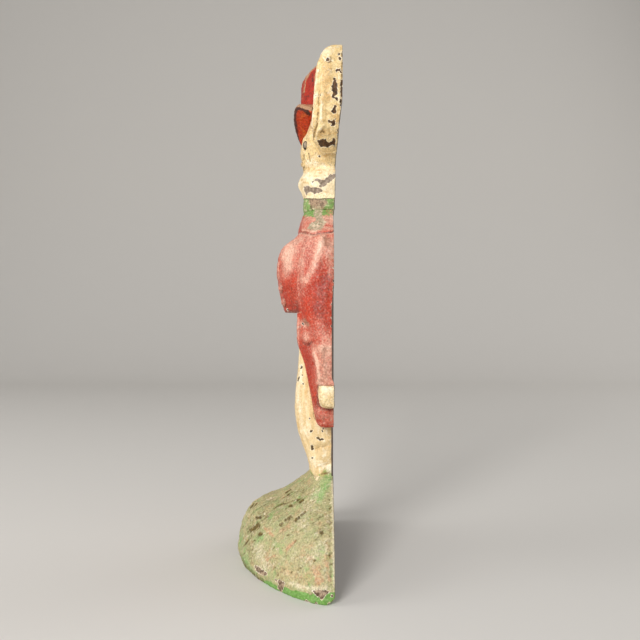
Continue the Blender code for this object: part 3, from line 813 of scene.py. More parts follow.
# %% Red paint
red = enamel(
    "red_oil_enamel", "#BE3A1E", "#AB2C15",
    [
        # dirt, and the coat's painted shade
        Layer("dirt", "#6A2216", "#7E2E1E", 1.1, 1.0, 0.45),
        # pale dust, and the coat's painted highlights
        Layer("wear", "#F1C6AD", "#E5B29A", 0.8, 0.9, 0.6),
        Layer("stain", "#A87862", "#95654F", 1.4, 0.8, 0.4),
        Layer("green", "#86A860", "#77984F", 1.1, 0.9, 0.2),
        Layer("other", "#978B6E", "#D2BFA2", 1.0, 1.2, 0.3),
        Layer("rim", "#F4E0CC", "#D9AE96", 0.8, 1.0, 0.1),
        Layer("flake", "#3A2A24", "#5E473B", 0.8, 0.7, 0.12),
        IRON,
    ],
    patches=7.0, speck=0.26, gloss=0.4,
)

# %% Shape of the tailcoat
COAT_NODES = [
    "coat_body", "coat_collar", "left_sleeve", "right_sleeve", "left_coat_tail", "right_coat_tail",
    "left_hip_button", "right_hip_button", "left_lapel", "right_lapel",
]
ARM_VALLEY = [(323, 236), (306, 262), (299, 285), (299, 311), (303, 330), (309, 352), (316, 384)]
CAPE_HEM = [(299, 232.3), (303, 233), (310.4, 233.8), (314, 234.3), (317, 233.4), (334.5, 231.2)]
ARM_RIDGE = [(322, 240), (318, 254), (313, 268), (306, 281)]
SLEEVE_RIDGE = [(313.5, 353), (317, 362), (318.3, 373), (319.5, 383)]
HIP_KNOB = [(305.4, 336.4), (306.4, 338.8)]
COAT_STROKES = [
    (CAPE_HEM, 1.1, -0.8),
    (ARM_RIDGE, 4.5, 0.6),
    ([(304, 249), (302.5, 276)], 2.6, 0.35),
    ([(309, 244), (308, 262)], 2.6, -0.3),
    ([(330, 262), (322, 282), (312, 300)], 5.5, -0.35),
    (HIP_KNOB, 4.2, 1.1),
    ([(303, 342.6), (306, 345), (309.4, 344.6), (312.2, 341.4)], 0.9, -0.5),
    ([(313.3, 348.2), (314.8, 351.1), (316.8, 351), (317.2, 346.9)], 0.7, -0.4),
    (SLEEVE_RIDGE, 2.2, 0.45),
    ([(326, 352), (327, 384)], 3.5, -0.2),
    ([(307, 355), (312, 385), (316, 408)], 2.2, -0.3),
    ([(312, 417), (318, 423), (331, 424.5)], 1.6, 0.3),
]
COAT_FRONT = [
    ([(0.0, 127.0), (0.0, 149.0)], 0.5, -0.5),
    ([(3.0, 151.0), (14.2, 165.0)], 0.5, -0.3),
    ([(9.0, 128.5), (15.5, 129.5), (22.0, 128.5)], 0.6, -0.3),
]
COAT_HOLLOW = (129.0, 162.0, 21.0)  # its lowest and highest point and half its width
VALLEY_WIDTH = 9.0  # pixels on each side of the line where the belly runs softly into the arm

coat = Surface(skinned("red_tailcoat", COAT_NODES, voxel=0.55))
coat_hollow = in_hollow(coat, *COAT_HOLLOW)
coat.relax(4)
valley = bell(distance_to_path(coat.picture(), ARM_VALLEY), VALLEY_WIDTH) * coat.side()
coat.relax(200, np.clip(1.8 * valley, 0.0, 1.0))
coat.push(side_strokes(coat, COAT_STROKES) + front_strokes(coat, COAT_FRONT))
coat.push((0.14 * coat.grain(5.0) + 0.12 * coat.grain(1.7, seed=8.0)) * (1 - coat_hollow))

# %% Where the coat's dust and dirt lie, and its painted highlights and shade
# Dust on the shoulders and down the sleeve, and painted highlights on the belly, the arm ridge, the hip knob,
# the sleeve ridge and the hem's edge.
COAT_DUST_AND_HIGHLIGHTS = [
    ([(286, 250), (300, 240), (330, 244)], 12.0, 0.4),
    ([(300, 262), (322, 258)], 12.0, 0.22),
    ([(300, 262), (299, 302)], 4.0, 0.15),
    ([(302, 226), (334, 224)], 6.0, 0.2),
    ([(330, 244), (330, 274)], 4.0, 0.2),
    ([(291, 249), (289, 258), (290, 268)], 4.5, 0.42),
    ([(284, 256), (286, 276)], 4.5, 0.35),
    ([(280, 270), (281, 300)], 2.0, 0.15),
    (ARM_RIDGE, 3.6, 0.5),
    ([(303, 250), (302, 278)], 2.4, 0.18),
    ([(302, 280), (304, 293)], 5.0, 0.15),
    ([(301, 330), (330, 338)], 9.0, 0.2),
    ([(318, 322), (329, 340)], 7.0, 0.15),
    (HIP_KNOB, 4.0, 0.4),
    ([(314, 348), (332, 350)], 5.0, 0.3),
    ([(325, 352), (326, 386)], 9.0, 0.6),
    (SLEEVE_RIDGE, 1.8, 0.6),
    ([(316, 357), (317.6, 366)], 1.2, 0.5),
    ([(298, 318), (298, 345)], 1.4, 0.35),
    ([(301, 322), (305, 326)], 2.5, 0.35),
    ([(315, 411), (331, 417)], 6.0, 0.3),
    ([(278, 262), (278.5, 290), (283, 308)], 1.0, 0.45),
    ([(301, 222), (306, 217), (334, 218)], 4.0, 0.3),
    ([(303, 230.5), (311, 230.8), (316, 230.6)], 1.0, 0.9),
]
COAT_CHIPS = [
    spot(333.6, 281, 0.8), [(333, 287), (335, 286), (335, 292), (333, 291)], spot(333.6, 299, 0.9),
    [(332, 304), (334, 303), (334, 309), (332.4, 310)], spot(332.6, 318, 1.1), spot(332.1, 326, 0.7),
    spot(303, 324, 0.7), spot(299.6, 327, 0.7), spot(333.8, 258, 0.5), spot(333.8, 268, 0.6),
    spot(287.5, 309.5, 0.6),
]
# Dirt and a scratch, and painted shade: under the belly's undercut and the cape's hem, on the lower belly and
# in the valleys beside the arm, a crescent under the hip knob and on the tail round the paw.
COAT_DIRT_AND_SHADE = [
    ([(297.5, 312), (286, 311.8)], 1.5, 1.2),
    ([(x, y + 0.6) for x, y in CAPE_HEM], 0.8, 1.0),
    ([(290, 288), (295, 307)], 5.5, 0.4),
    ([(297.5, 302), (297.5, 311)], 1.4, 0.35),
    ([(328, 280), (318, 304), (322, 316)], 10.0, 0.45),
    ([(316, 418), (331, 420)], 5.0, 0.3),
    ([(306, 358), (311, 385), (315, 412)], 3.0, 0.3),
    ([(303, 343.2), (306, 345.7), (309.4, 345.3), (312.2, 342)], 0.9, 0.8),
    ([(318.5, 387), (318.3, 404), (322, 409), (333, 409)], 1.3, 1.0),
    ([(317.5, 386), (317, 408)], 2.0, 0.35),
    ([(313.5, 349.5), (315, 352), (317, 351.5)], 0.7, 0.6),
    ([(327, 325), (329, 335)], 1.0, 0.3),
]
CAPE_PATCH = [
    (306, 228.6), (310.4, 223.5), (315.8, 220.5), (313, 213.5), (316, 208), (322.6, 208), (322.6, 218.6),
    (327, 221.6), (322.1, 229.3), (313.3, 231),
]
COAT_STAIN = [
    ([(325, 238), (326, 244)], 2.2, 0.5),
    ([(304, 320), (308, 325)], 2.4, 0.8),
    ([(326, 296), (330, 315)], 4.0, 0.12),
    ([(325, 352), (326, 386)], 8.0, 0.5),
    ([(330, 240), (332, 275)], 5.0, 0.45),
    ([(316, 418), (331, 420)], 5.0, 0.4),
]

# %% Finish the coat
GREEN_ABOVE = 216.0  # the row down to which the green of the collar covers the top of the coat
GREEN_THIN = (321.0, 328.0)  # between these columns it thins out
SLEEVE_SET_IN = 1.1  # how far the back edge of the sleeve turns forwards
SLEEVE_SIDE = (26.0, 34.0)  # it does so between these distances from the middle
SLEEVE_FOOT, SLEEVE_HEAD = (93.0, 96.0), (140.0, 128.0)  # and comes in and goes out at these heights

sandy = coat.grain(1.2, 2, seed=9.0)
up = coat.normals[:, 2]
set_in = SLEEVE_SET_IN * step_between(*SLEEVE_SIDE, np.abs(coat.points[:, 0]))
set_in *= step_between(*SLEEVE_FOOT, coat.points[:, 2]) * step_between(*SLEEVE_HEAD, coat.points[:, 2])
calm = 1 - np.clip(1.5 * valley, 0.0, 1.0)
column, row = coat.picture().T
green = step_between(1.6, -1.6, row - GREEN_ABOVE + 2.4 * coat.grain(2.4, 3, seed=6.0))
settled = 0.1 * step_between(0.0, 0.7, sandy) + 0.35 * step_between(0.3, 0.9, up)
# Dirt in the pits of the sand, and painted shade on faces that turn downwards.
grime_and_shade = 0.15 * step_between(0.1, 0.7, -sandy) + 0.5 * step_between(0.5, 0.9, -up)
finish_cast(
    coat, flakes=COAT_CHIPS, back=BACK_Y - set_in, hollow=coat_hollow, rough=0.1,
    edge_wear=0.24 * calm, edge_dirt=0.3 * calm * (1 - green),
    green=green * (1 - 0.5 * step_between(*GREEN_THIN, column)),
    wear=side_strokes(coat, COAT_DUST_AND_HIGHLIGHTS) + settled,
    dirt=side_strokes(coat, COAT_DIRT_AND_SHADE) + grime_and_shade,
    stain=side_strokes(coat, COAT_STAIN),
    other=0.75 * side_patch(coat, CAPE_PATCH),
)
dress(coat.piece, red, COAT_NODES)

# %% [markdown]
# The coat buttons.
#
# They are low domes of the same iron and were painted over with the coat. A spun profile would give
# such a button, but the solids are domes already, so each only gets a fine skin and a groove near
# its edge, where dirt has gathered.

# %% Coat buttons
BUTTON_RIM, BUTTON_GROOVE = 1.5, 0.25  # where the groove runs round the dome, and its depth


def middle_and_half(node):
    """The middle of a solid's box and half its size, in millimetres."""
    low, high = (np.array(corner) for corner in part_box(node))
    return 500 * (low + high), 500 * (high - low)


for number in range(1, 5):
    button = Surface(skinned(f"domed_button_{number}", [f"coat_button_{number}"], voxel=0.22))
    button.relax(2)
    middle, _ = middle_and_half(f"coat_button_{number}")
    out = np.linalg.norm((button.points - middle)[:, [0, 2]], axis=1)
    button.push(-BUTTON_GROOVE * bell(out - BUTTON_RIM, 0.3))
    finish_cast(button, rough=0.03, wear=0.35, dirt=0.6 * step_between(1.4, 2.0, out))
    dress(button.piece, red, [f"coat_button_{number}"])

# %% [markdown]
# The paws.
#
# Each paw is a plain rounded block below the cuff. Only shallow lumps in the casting hint at the
# fur, and ochre has settled round its edge.

# %% Paws
PAW_STAIN = [
    ([(320.5, 387), (320.3, 403), (325, 407), (334, 407)], 1.2, 0.6),
    ([(325, 394), (330, 398)], 3.0, 0.35),
]
PAW_PALE = [([(324, 389), (330, 390)], 3.0, 0.4)]

for side in ("left", "right"):
    paw = Surface(skinned(f"{side}_cream_paw", [f"{side}_paw"], voxel=0.35))
    paw.relax(4)
    paw.push(0.22 * paw.grain(3.5) + 0.08 * paw.grain(1.6, seed=5.0))
    finish_cast(
        paw, back=BACK_Y + 0.3, rough=0.09, edge_dirt=0.25,
        stain=side_strokes(paw, PAW_STAIN) + paw.blotches(0.4, 2.0, 0.0),
        wear=0.3 + side_strokes(paw, PAW_PALE),
    )
    dress(paw.piece, plain_cream, [f"{side}_paw"])

# %% [markdown]
# Head, ears, cravat and collar.
#
# They too are one flowing form: the ears grow out of the cheeks, and the cravat swells below the
# jaw. The near ear has a rolled front lip with a groove behind it. The face, which the photograph
# shows from the side only, is a plain one for a hare: two brows, full cheeks, a split lip and a few
# pricks where the whiskers grow.

# %% Shape of the head and the neck
BAND_TOP = 1000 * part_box("shirt_collar")[0].z - 0.15
CHIN = 1000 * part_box("head")[0].z - 0.15
HEAD_NODES = ["head", "left_ear", "right_ear"]
HEAD_STROKES = [
    ([(322, 60), (319.2, 78), (318.4, 90), (318.4, 104)], 1.6, -0.7),
    ([(318.4, 104), (317.6, 116), (316.4, 126), (314, 133), (313.5, 140)], 1.6, -1.1),
    ([(319.5, 62), (315.4, 90), (314, 105), (313, 120), (311, 134)], 1.9, 0.5),
    ([(324.6, 124.5), (318, 131), (315.2, 141)], 1.5, 0.4),
    ([(321.5, 100), (321, 118)], 1.6, 0.3),
    ([(330, 58), (329, 78)], 3.0, 0.3),
    ([(325, 84), (329, 98), (326, 106)], 2.6, -0.3),
    ([(327, 114), (325, 132)], 2.6, -0.25),
    ([(305.6, 140.4), (307.6, 141.6), (308.2, 145)], 0.7, 0.45),
    ([(303.1, 151.2), (305.5, 151.6), (308, 149.4)], 0.7, 0.35),
    ([(303.8, 154.7), (304.2, 159)], 0.6, -0.4),
    ([(308.6, 154), (309.4, 158), (310.1, 162)], 0.7, -0.45),
    ([(305.6, 153), (306.4, 160), (305.6, 167)], 1.0, 0.3),
    ([(312.5, 146), (313.5, 158), (312, 168)], 1.0, -0.25),
    ([(302.5, 171.6), (305, 172.3), (307, 171.2)], 0.6, -0.5),
    ([(303, 175.6), (318, 176), (334.5, 174)], 1.2, -0.35),
]
FACE_STROKES = [
    ([(4.5, 214.6), (9.0, 215.6), (13.0, 213.6)], 1.3, 0.5),
    ([(6.4, 210.4), (8.0, 207.6), (11.0, 207.6)], 0.8, -0.4),
    ([(7.0, 212.6), (9.6, 213.4), (12.0, 212.4)], 0.6, -0.4),
    ([(4.2, 207.5), (6.4, 204.0), (5.6, 201.0)], 1.0, -0.5),
    ([(0.0, 213.0), (0.0, 206.0)], 2.0, 0.3),
]
WHISKER_PRICKS = [(2.9, 203.8), (4.1, 202.7), (2.9, 202.1), (4.6, 204.4)]
MOUTH_AND_WHISKERS = [
    ([(0.0, 202.0), (0.0, 200.4)], 0.7, -0.7),
    ([(0.0, 200.5), (2.4, 199.8), (4.6, 200.6)], 0.7, -0.6),
    *[([(x, z), (x + 0.1, z)], 0.5, -0.5) for x, z in WHISKER_PRICKS],
]
MOUTH_DIRT = [(path, 0.6, 0.9) for path, _, _ in MOUTH_AND_WHISKERS]
CRAVAT_FOLDS = [
    ([(3.0, 191.0), (10.0, 195.0)], 0.6, -0.3),
    ([(3.0, 189.5), (10.0, 190.0)], 0.6, -0.3),
    ([(2.2, 186.5), (2.4, 197.0)], 0.6, -0.45),
    ([(0.0, 191.8), (0.0, 192.2)], 2.2, 0.5),
]
FRONT_CARVING = FACE_STROKES + MOUTH_AND_WHISKERS + CRAVAT_FOLDS
EAR_ROOT = [(308, 144), (320, 153), (334, 151)]  # where the ear grows softly out of the cheek
EAR_ROOT_WIDTH = 8.0  # in pixels, on each side of that line
JAW_BLEND = 2.5  # how far up and down the jaw and the cravat are blended

head = Surface(skinned("head_and_neck", [*HEAD_NODES, "shirt_collar", "neck_band"], voxel=0.45))
head.relax(4)
height = head.points[:, 2]
jaw = bell(height - CHIN, JAW_BLEND)
ear_root = bell(distance_to_path(head.picture(), EAR_ROOT), EAR_ROOT_WIDTH)
head.relax(90, np.clip(1.5 * ear_root * head.side(), 0.0, 1.0))
head.relax(20, jaw)
head.push(side_strokes(head, HEAD_STROKES) + front_strokes(head, FRONT_CARVING))
head.push(0.18 * head.grain(4.0) + 0.1 * head.grain(1.7, seed=3.0))

# %% Where the paint of the head lies
HEAD_CHIPS = [
    spot(339.1, 54.1, 0.9), [(338.8, 57.5), (340, 56.8), (340.9, 58.5), (340, 60.2), (338.9, 59.8)],
    [(335.9, 70.8), (337.1, 68.8), (339.4, 68.8), (340.2, 67.7), (340.2, 71.8), (338, 71.1), (336.6, 72.4)],
    [(334.1, 77.6), (335.3, 78.1), (336.2, 82.8), (337.4, 83.7), (336.5, 87), (337.1, 89.9), (338, 92.8),
     (337.1, 94.3), (335, 95.2), (334.1, 96.6), (337.7, 97.8), (337.4, 100.7), (335, 98.7), (331.9, 97.5),
     (332.7, 94.6), (333.9, 93.1), (331.8, 89.9), (333.3, 87.8), (332.1, 86.9), (332.5, 84), (333.6, 82.3),
     (333.6, 78.7)],
    [(335, 105.1), (336.2, 106.3), (335.9, 109.2), (336.2, 113), (333.3, 113.4), (331.2, 111.6),
     (333.2, 108)],
    [(328, 120.4), (329, 119.9), (330.6, 121.3), (333, 121.3), (334.4, 119.2), (335.9, 118.9), (335, 122.2),
     (335, 124.5), (334.1, 126), (331.2, 125.8), (332.4, 123.6), (330, 122.2), (328.6, 122.8)],
    [(317.1, 140.5), (321.6, 139.6), (325.7, 138.8), (326.2, 141.4), (329.7, 142.9), (332.3, 141.4),
     (332.7, 138.8), (334.9, 137), (335.2, 142), (334.2, 145.9), (332.7, 144), (330.5, 145.1), (328.2, 147.3),
     (323.8, 146.2), (321.2, 147.7), (317.5, 144.4), (319, 142.5)],
    [(325.6, 59.8), (327.6, 58), (330, 58.8), (328.8, 61), (326.6, 61)],
    [(340.8, 80), (342.6, 79), (342.2, 96), (340.8, 97), (340.4, 90)],
    [(340, 99), (341.8, 99), (341, 107), (339.8, 106)],
    [(337.8, 129), (339.8, 128), (339.4, 136), (337.6, 137)], spot(341.2, 72, 0.7), spot(319.4, 156.2, 0.8),
    spot(320.5, 95.2, 0.4), spot(316, 95.5, 0.4), spot(302.6, 168.8, 0.5), spot(304.2, 170.4, 0.5),
]
# Ochre stains, and painted shade down the ear's front lip.
HEAD_STAIN_AND_SHADE = [
    ([(327.5, 96), (329.5, 97)], 3.6, 1.0),
    ([(322, 131.5), (324, 131.5)], 2.2, 1.0),
    ([(317.7, 100), (317.4, 112)], 1.2, 0.5),
    ([(320, 134), (333, 132)], 3.0, 0.5),
    ([(328, 66), (327, 86)], 3.6, 0.55),
    ([(331, 114), (335, 122)], 3.6, 0.5),
    ([(318, 152), (330, 153)], 3.5, 0.5),
    ([(316, 72), (313.6, 100), (311, 126)], 3.0, 0.4),
    ([(325, 60), (323, 112)], 5.0, 0.4),
    ([(337, 60), (337, 130)], 3.0, 0.35),
    ([(305, 170), (334, 171)], 3.0, 0.35),
    ([(303, 155), (303, 168)], 1.0, 0.4),
    ([(303.4, 181), (305, 180.4)], 2.2, 0.75),
    ([(324, 193), (331, 190)], 3.0, 0.2),
]
HEAD_DIRT = [
    ([(328, 60.8), (329.6, 58.6)], 2.2, 1.0),
    ([(329.6, 61.4), (330.6, 61)], 1.2, 0.9),
    ([(318.6, 92), (318.4, 106)], 0.8, 0.6),
    ([(318, 112), (316.6, 126), (313.8, 134), (313.5, 140)], 1.1, 0.7),
    ([(308.6, 153), (310.1, 162)], 0.8, 0.75),
    ([(303.8, 154), (304.2, 158.6)], 0.8, 0.75),
    ([(305.8, 160), (307.4, 165.4)], 0.7, 0.6),
    ([(302.6, 168), (304.6, 170.4)], 0.8, 0.7),
    ([(320.4, 132.6), (322.4, 130.6), (323.8, 132.4)], 0.9, 0.95),
    ([(330, 113), (334, 118)], 2.0, 0.3),
    ([(342, 52), (342.2, 60), (341.2, 80), (340.8, 100)], 0.9, 0.9),
    ([(316, 78), (314, 100), (312, 118)], 0.5, 0.3),
    ([(304, 176), (318, 176.6), (334.5, 174.6)], 0.6, 0.25),
    ([(304, 197.6), (318, 198), (334, 197.4)], 0.8, 0.5),
]
HEAD_PALE = [
    ([(323, 54), (331, 50)], 4.0, 0.4),
    ([(317, 70), (314.5, 95), (311.5, 125)], 1.2, 0.45),
    ([(321.6, 104), (320.6, 118)], 1.4, 0.45),
    ([(310, 164), (330, 168)], 5.0, 0.4),
    ([(306, 178), (330, 192)], 6.0, 0.4),
    # a painted glint beside the dark pit near the tip of the ear
    ([(332, 60.4), (332.6, 60.8)], 0.9, 1.0),
]
CRAVAT_CHIPS = [
    [(312.3, 182.1), (316.4, 178.8), (318, 178.6), (321.6, 180.3), (324.5, 179.9), (326.8, 177.3),
     (330.5, 174.7), (335.4, 174.3), (335.4, 177), (331.9, 180.3), (328.2, 182.8), (325.3, 185.4),
     (321.6, 187.3), (319.7, 186.5), (320.5, 183.6), (318.6, 182.1), (315.7, 180.6), (313.4, 181.9)],
    [(304.2, 187.3), (307.9, 185.8), (309.8, 187.3), (315.7, 187.7), (320.8, 188.8), (322.3, 190.6),
     (320.1, 193.2), (316.4, 192.5), (313.6, 194.5), (312.7, 192.5), (309, 191.7), (306, 195),
     (304.9, 192.5)],
]
EAR_INNER, EAR_INNER_HALF = (26.6, 228.0), (4.0, 16.0)  # the front of each ear, which is warmer

inner = (np.column_stack([np.abs(head.points[:, 0]), height]) - EAR_INNER) / EAR_INNER_HALF
inner = step_between(1.2, 0.7, np.linalg.norm(inner, axis=1)) * head.front()
fur = {
    "wear": side_strokes(head, HEAD_PALE) + head.blotches(0.35, 2.2, 7.0),
    "dirt": side_strokes(head, HEAD_DIRT) + front_strokes(head, MOUTH_DIRT) + head.blotches(0.2, 1.2, 6.0),
    "stain": side_strokes(head, HEAD_STAIN_AND_SHADE) + 0.5 * inner + head.blotches(0.5, 2.2, 4.0),
}

# %% [markdown]
# The neck band.
#
# Hardly any green is left round the middle of the collar, where it has gone to a greasy grey and
# tan. Above it, the cravat has lost two ragged flakes of paint, and under them lies a thin grey coat.

# %% Paint of the neck
collar_paint = enamel(
    "green_enamel_rubbed_thin", "#86A860", "#77984F",
    [
        Layer("stain", "#A88B6E", "#89705A", 1.0, 1.2, 0.35),
        Layer("dirt", "#594736", "#75614A", 0.9, 1.2, 0.4),
        Layer("wear", "#E2D6B2", "#CDBB96", 0.8, 1.3, 0.4),
        Layer("other", "#CC7D62", "#D89678", 0.9, 1.0, 0.2),
        Layer("cream", "#F6E3BC", "#ECD6A8", 1.2, 0.6, 0.14),
        IRON,
    ],
    patches=3.0, speck=0.28, gloss=0.5,
)
rubbed_cream = enamel(
    "cream_enamel_rubbed_thin", "#F2DDB4", "#E6CFA0",
    [*CREAM_LAYERS, Layer("flake", "#A89684", "#7A6A58", 1.1, 0.9, 0.12), IRON],
    patches=4.0, speck=0.14, gloss=0.46,
)

# %% Where the paint of the neck lies
COLLAR_STAIN = [
    ([(313, 201), (323, 203)], 4.6, 0.95),
    ([(316, 206), (321, 212)], 4.6, 0.85),
    ([(304, 201), (305, 208)], 2.5, 0.3),
]
COLLAR_DIRT = [
    ([(303, 198.5), (318, 199), (334, 198)], 1.0, 0.7),
    ([(311, 207), (313, 211)], 1.2, 0.7),
    ([(318, 203), (323, 205)], 1.5, 0.5),
]
COLLAR_PALE = [
    ([(304, 206), (305, 211)], 1.2, 0.5),
    ([(314, 212), (320, 214)], 2.5, 0.7),
    ([(318, 206), (320, 211)], 2.0, 0.4),
]
COLLAR_RED = [([(328, 211), (334, 212)], 1.2, 0.6)]
CREAM_ABOVE = 198.2  # the row down to which the cream of the cravat covers the neck
EAR_BACK_ABOVE = CHIN + 4  # from here up the ears may reach behind the flat back

collar = {
    "wear": side_strokes(head, COLLAR_PALE) + head.blotches(0.45, 1.6, 7.0),
    "dirt": side_strokes(head, COLLAR_DIRT) + head.blotches(0.45, 1.4, 2.0),
    "stain": side_strokes(head, COLLAR_STAIN) + head.blotches(0.3, 3.0, 4.0),
}
above = height > BAND_TOP
cream_edge = head.picture()[:, 1] - CREAM_ABOVE + 0.6 * head.grain(3.0, seed=5.0)
finish_cast(
    head, flakes=HEAD_CHIPS + CRAVAT_CHIPS, rough=0.08,
    back=np.where(height > EAR_BACK_ABOVE, BOX_HIGH[1], BACK_Y + LEAN),
    edge_wear=np.where(above, 0.3, 0.45), edge_dirt=np.where(above, 0.2, 0.4),
    other=np.where(above, 0.0, side_strokes(head, COLLAR_RED)),
    cream=step_between(0.7, -0.7, cream_edge),
    **{name: np.where(above, fur[name], collar[name]) for name in fur},
)
dress(cut_between(head, "green_collar", high=BAND_TOP), collar_paint, ["neck_band"])
cravat = cut_between(head, "cream_cravat", low=BAND_TOP, high=CHIN)
dress(cravat, rubbed_cream, ["shirt_collar"])
dress(cut_between(head, "cream_head_and_ears", low=CHIN), plain_cream, HEAD_NODES)
bpy.data.objects.remove(head.piece)

# %% [markdown]
# The top hat.
#
# Dust dulls the red crown, most of all along its edges, and a painted highlight runs down its near
# top edge while painted shade darkens its front. The brim is seen from below: its underside kept
# the bright orange red, because nothing rubs there, and its rim has gone to a tan grey. A painted
# glow brightens the middle of the underside, and painted shade darkens its front edge and the near
# end under the rim. Crown and brim meet in a sharp corner, and one skin over both would round it
# off, so each has its own.

# %% Hat paint
hat_paint = enamel(
    "red_hat_enamel", "#B22E15", "#9A220E",
    [
        Layer("other", "#EE5418", "#CC3C12", 1.2, 0.8, 0.35),
        # painted shade under the brim and on the crown's front, and dirt on the crown
        Layer("dirt", "#3E1E16", "#5E291D", 1.0, 0.9, 0.3),
        # the painted glow in the middle of the brim's underside
        Layer("stain", "#F47A30", "#EC6A2C", 1.2, 1.0, 0.35),
        # tan worn paint on the rim and crown, and the crown's painted highlight
        Layer("wear", "#B98F6C", "#A98262", 0.9, 1.1, 0.35),
        Layer("rim", "#E3C7A0", "#C9A47C", 0.8, 1.0, 0.1),
        Layer("flake", "#4A382C", "#6E5548", 0.8, 0.7, 0.1),
        IRON,
    ],
    patches=5.0, speck=0.28, gloss=0.5,
)

# %% Crown
CROWN_RISE, CROWN_RISE_AT, CROWN_RISE_HALF = 2.6, (12.0, 15.0), (9.0, 7.0)  # the near top edge swells
CROWN_RISE_FROM = (238.0, 247.0)  # the swelling comes in between these heights
CROWN_NEAR = (-7.0, 5.0)  # wear and dirt are drawn on the near side and fade out towards the far one
# Worn tan paint on the front corner, and a pale painted highlight along the near top edge and down from it.
CROWN_WEAR_AND_HIGHLIGHT = [
    ([(317, 65), (308.5, 72.5), (303, 79)], 1.6, 0.8),
    ([(302.3, 80), (302.3, 98)], 1.8, 0.5),
    ([(309, 74.5), (305.6, 80.5), (304.2, 92)], 0.8, 0.8),
]
# Dirt, and painted shade down the unlit front of the crown.
CROWN_DIRT_AND_SHADE = [
    ([(313, 74), (313, 86)], 1.2, 0.4),
    ([(303, 80.5), (302.6, 88)], 1.4, 0.5),
    ([(312, 92), (306, 98)], 2.0, 0.3),
]
BRIM_HEIGHT, BRIM_X = 227.0, -3.0  # a point where the crown meets the brim
BRIM_TILT = math.tan(math.radians(12))

crown = Surface(skinned("red_hat_crown", ["hat_crown"], voxel=0.42))
over_brim = crown.points[:, 2] - BRIM_HEIGHT - BRIM_TILT * (crown.points[:, 0] - BRIM_X)
underneath = step_between(-0.3, -1.3, over_brim)
crown.relax(5, 1 - underneath)
swell = np.linalg.norm((crown.points[:, :2] - CROWN_RISE_AT) / CROWN_RISE_HALF, axis=1)
crown.points[:, 2] += CROWN_RISE * bell(swell, 1.0) * step_between(*CROWN_RISE_FROM, crown.points[:, 2])
crown.store()
crown.push(0.15 * crown.grain(3.0) + 0.08 * crown.grain(1.5, seed=2.0) + 0.25 * underneath)
near_side = step_between(*CROWN_NEAR, crown.points[:, 0])
places = crown.picture()
finish_cast(
    crown, rough=0.09, edge_wear=0.35 * (1 - underneath), edge_dirt=0.35 * (1 - underneath),
    other=underneath,
    wear=near_side * strokes(places, CROWN_WEAR_AND_HIGHLIGHT) + 0.4 * step_between(0.5, 0.9, crown.normals[:, 2]),
    dirt=near_side * strokes(places, CROWN_DIRT_AND_SHADE) + (1 - underneath) * crown.blotches(0.45, 1.4, 4.0),
)
dress(crown.piece, hat_paint, ["hat_crown"])

# %% Brim
# A painted glow: light bounced into the hollow of the brim brightens the middle of its underside.
UNDERSIDE_PAINTED_GLOW = [([(304, 117), (306, 131)], 4.0, 0.9)]
# Painted shade: the dark band under the near end of the rim and down the front edge of the underside.
UNDERSIDE_PAINTED_SHADE = [
    ([(297, 107), (303, 109), (309, 114)], 2.6, 0.85),
    ([(295.5, 110), (295, 118), (297.5, 136)], 2.0, 0.75),
]

brim = Surface(skinned("red_hat_brim", ["hat_brim"], voxel=0.38))
brim.relax(3)
brim.push(0.14 * brim.grain(2.6) + 0.06 * brim.grain(1.3, seed=2.0))
below = step_between(0.15, -0.15, brim.normals[:, 2])
rim_wear = 0.9 - 0.55 * step_between(0.75, 0.95, brim.normals[:, 2])
# Painted shade on the underside where it faces forwards, along the brim's front edge.
front_dirt = 0.9 * step_between(-0.45, -0.8, brim.normals[:, 1])
finish_cast(
    brim, rough=0.08, edge_wear=0.2, edge_dirt=0.3,
    other=below, wear=rim_wear * (1 - below), stain=below * strokes(brim.picture(), UNDERSIDE_PAINTED_GLOW),
    dirt=below * (front_dirt + strokes(brim.picture(), UNDERSIDE_PAINTED_SHADE)),
)
dress(brim.piece, hat_paint, ["hat_brim"])

# %% [markdown]
# Eyes and nose.
#
# They are low beads with a dab of black. The black has worn from the middle of each, and a ring of
# it is left in the groove round the edge.

# %% Eyes and nose
black = enamel(
    "black_enamel", "#2E2822", "#3A322A",
    [
        Layer("wear", "#A39783", "#84786A", 0.6, 0.9, 0.25),
        Layer("stain", "#D9BE8E", "#B8976A", 0.6, 0.7, 0.25),
        IRON,
    ],
    patches=2.0, speck=0.2, gloss=0.4,
)
BEADS = (("left_eye", 0.85, 0.0), ("right_eye", 0.85, 0.0), ("nose", 0.3, 0.65))  # with wear and stain

for node_name, wear, stain in BEADS:
    bead = Surface(skinned(f"painted_{node_name}", [node_name], voxel=0.18, grow=0.05))
    bead.relax(2)
    middle, half = middle_and_half(node_name)
    out = np.linalg.norm(((bead.points - middle) / half)[:, [1, 2]], axis=1)
    rubbed = wear * step_between(0.9, 0.5, out)
    finish_cast(bead, rough=0.02, edge_wear=0.1, edge_dirt=0.0, wear=rubbed, stain=stain)
    dress(bead.piece, black, [node_name])

# %% [markdown]
# The studio.
#
# A pale paper sweep runs under the doorstop and up behind it, with no corner to draw the eye. The
# brightest lamp is a soft box behind the camera, above it and to its left. A weaker one fills the
# front of the hare and a third its flat back, and the world adds an even grey.

# %% Paper sweep
SWEEP_FRONT, SWEEP_BACK, SWEEP_WIDTH, SWEEP_HEIGHT, SWEEP_CURVE = 1.2, -0.9, 6.0, 2.4, 0.5

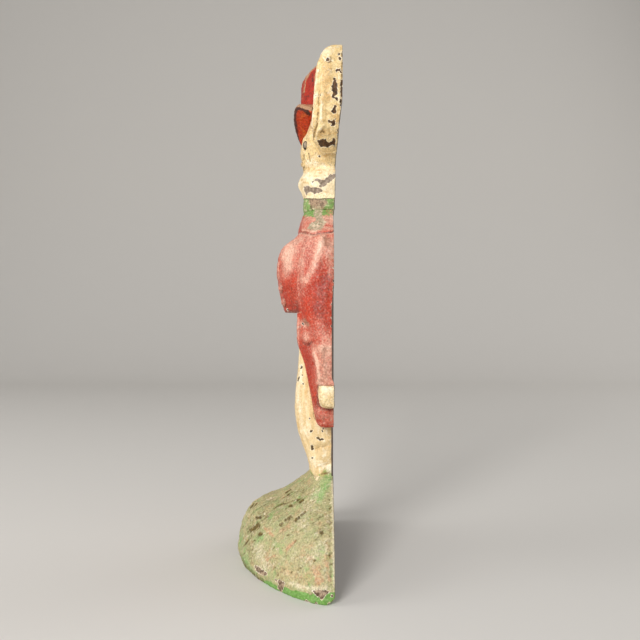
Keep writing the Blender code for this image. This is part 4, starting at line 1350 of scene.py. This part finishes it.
sheet = bmesh.new()
near_edge = [sheet.verts.new((SWEEP_FRONT, y, 0)) for y in (-SWEEP_WIDTH / 2, SWEEP_WIDTH / 2)]
edge = sheet.edges.new(near_edge)
flat = bmesh.ops.extrude_edge_only(sheet, edges=[edge])["geom"]
moved = [item for item in flat if isinstance(item, bmesh.types.BMVert)]
bmesh.ops.translate(sheet, vec=(SWEEP_BACK - SWEEP_FRONT, 0, 0), verts=moved)
bent = moved + [item for item in flat if isinstance(item, bmesh.types.BMEdge)]
turn = {"cent": (SWEEP_BACK, 0, SWEEP_CURVE), "axis": (0, 1, 0), "angle": math.radians(90), "steps": 24}
last = bmesh.ops.spin(sheet, geom=bent, **turn)["geom_last"]
top_edges = [item for item in last if isinstance(item, bmesh.types.BMEdge)]
top = bmesh.ops.extrude_edge_only(sheet, edges=top_edges)["geom"]
moved = [item for item in top if isinstance(item, bmesh.types.BMVert)]
bmesh.ops.translate(sheet, vec=(0, 0, SWEEP_HEIGHT), verts=moved)
bmesh.ops.recalc_face_normals(sheet, faces=sheet.faces)
paper_mesh = bpy.data.meshes.new("paper_sweep")
sheet.to_mesh(paper_mesh)
sheet.free()
paper_mesh.shade_smooth()
sweep = in_scene("paper_sweep", paper_mesh)
paper = bpy.data.materials.new("matt_paper")  # uncoated paper: even and without gloss
paper.use_nodes = True
paper_shader = paper.node_tree.nodes["Principled BSDF"]
paper_shader.inputs["Base Color"].default_value = hex_colour("#DAD6D0")
paper_shader.inputs["Roughness"].default_value = 0.9
paper_mesh.materials.append(paper)

# %% Lamps
FIGURE_MIDDLE = (0.0, 0.0, 0.13)


def area_lamp(name, place, size, watts):
    """A square soft box that shines at the middle of the figure."""
    light = bpy.data.lights.new(name, "AREA")
    light.size = size
    light.energy = watts
    lamp = in_scene(name, light)
    lamp.location = place
    lamp.rotation_euler = (Vector(FIGURE_MIDDLE) - Vector(place)).to_track_quat("-Z", "Y").to_euler()
    print(f"{name}: {watts} W, {size} m wide")


area_lamp("key_lamp", (1.02, -0.42, 0.6), size=0.45, watts=11.6)
area_lamp("front_lamp", (0.2, -1.2, 0.6), size=0.7, watts=4.2)
area_lamp("back_lamp", (-0.5, 1.3, 0.8), size=0.9, watts=5.0)

world = bpy.data.worlds.new("studio")
world.use_nodes = True
sky = world.node_tree.nodes["Background"]
sky.inputs["Color"].default_value = hex_colour("#FFFFFF")
sky.inputs["Strength"].default_value = 0.35
bpy.context.scene.world = world
bpy.context.scene.view_settings.view_transform = "Standard"

# %% Print the total of triangles and finish
print("triangles:", sum(sizes.values()))
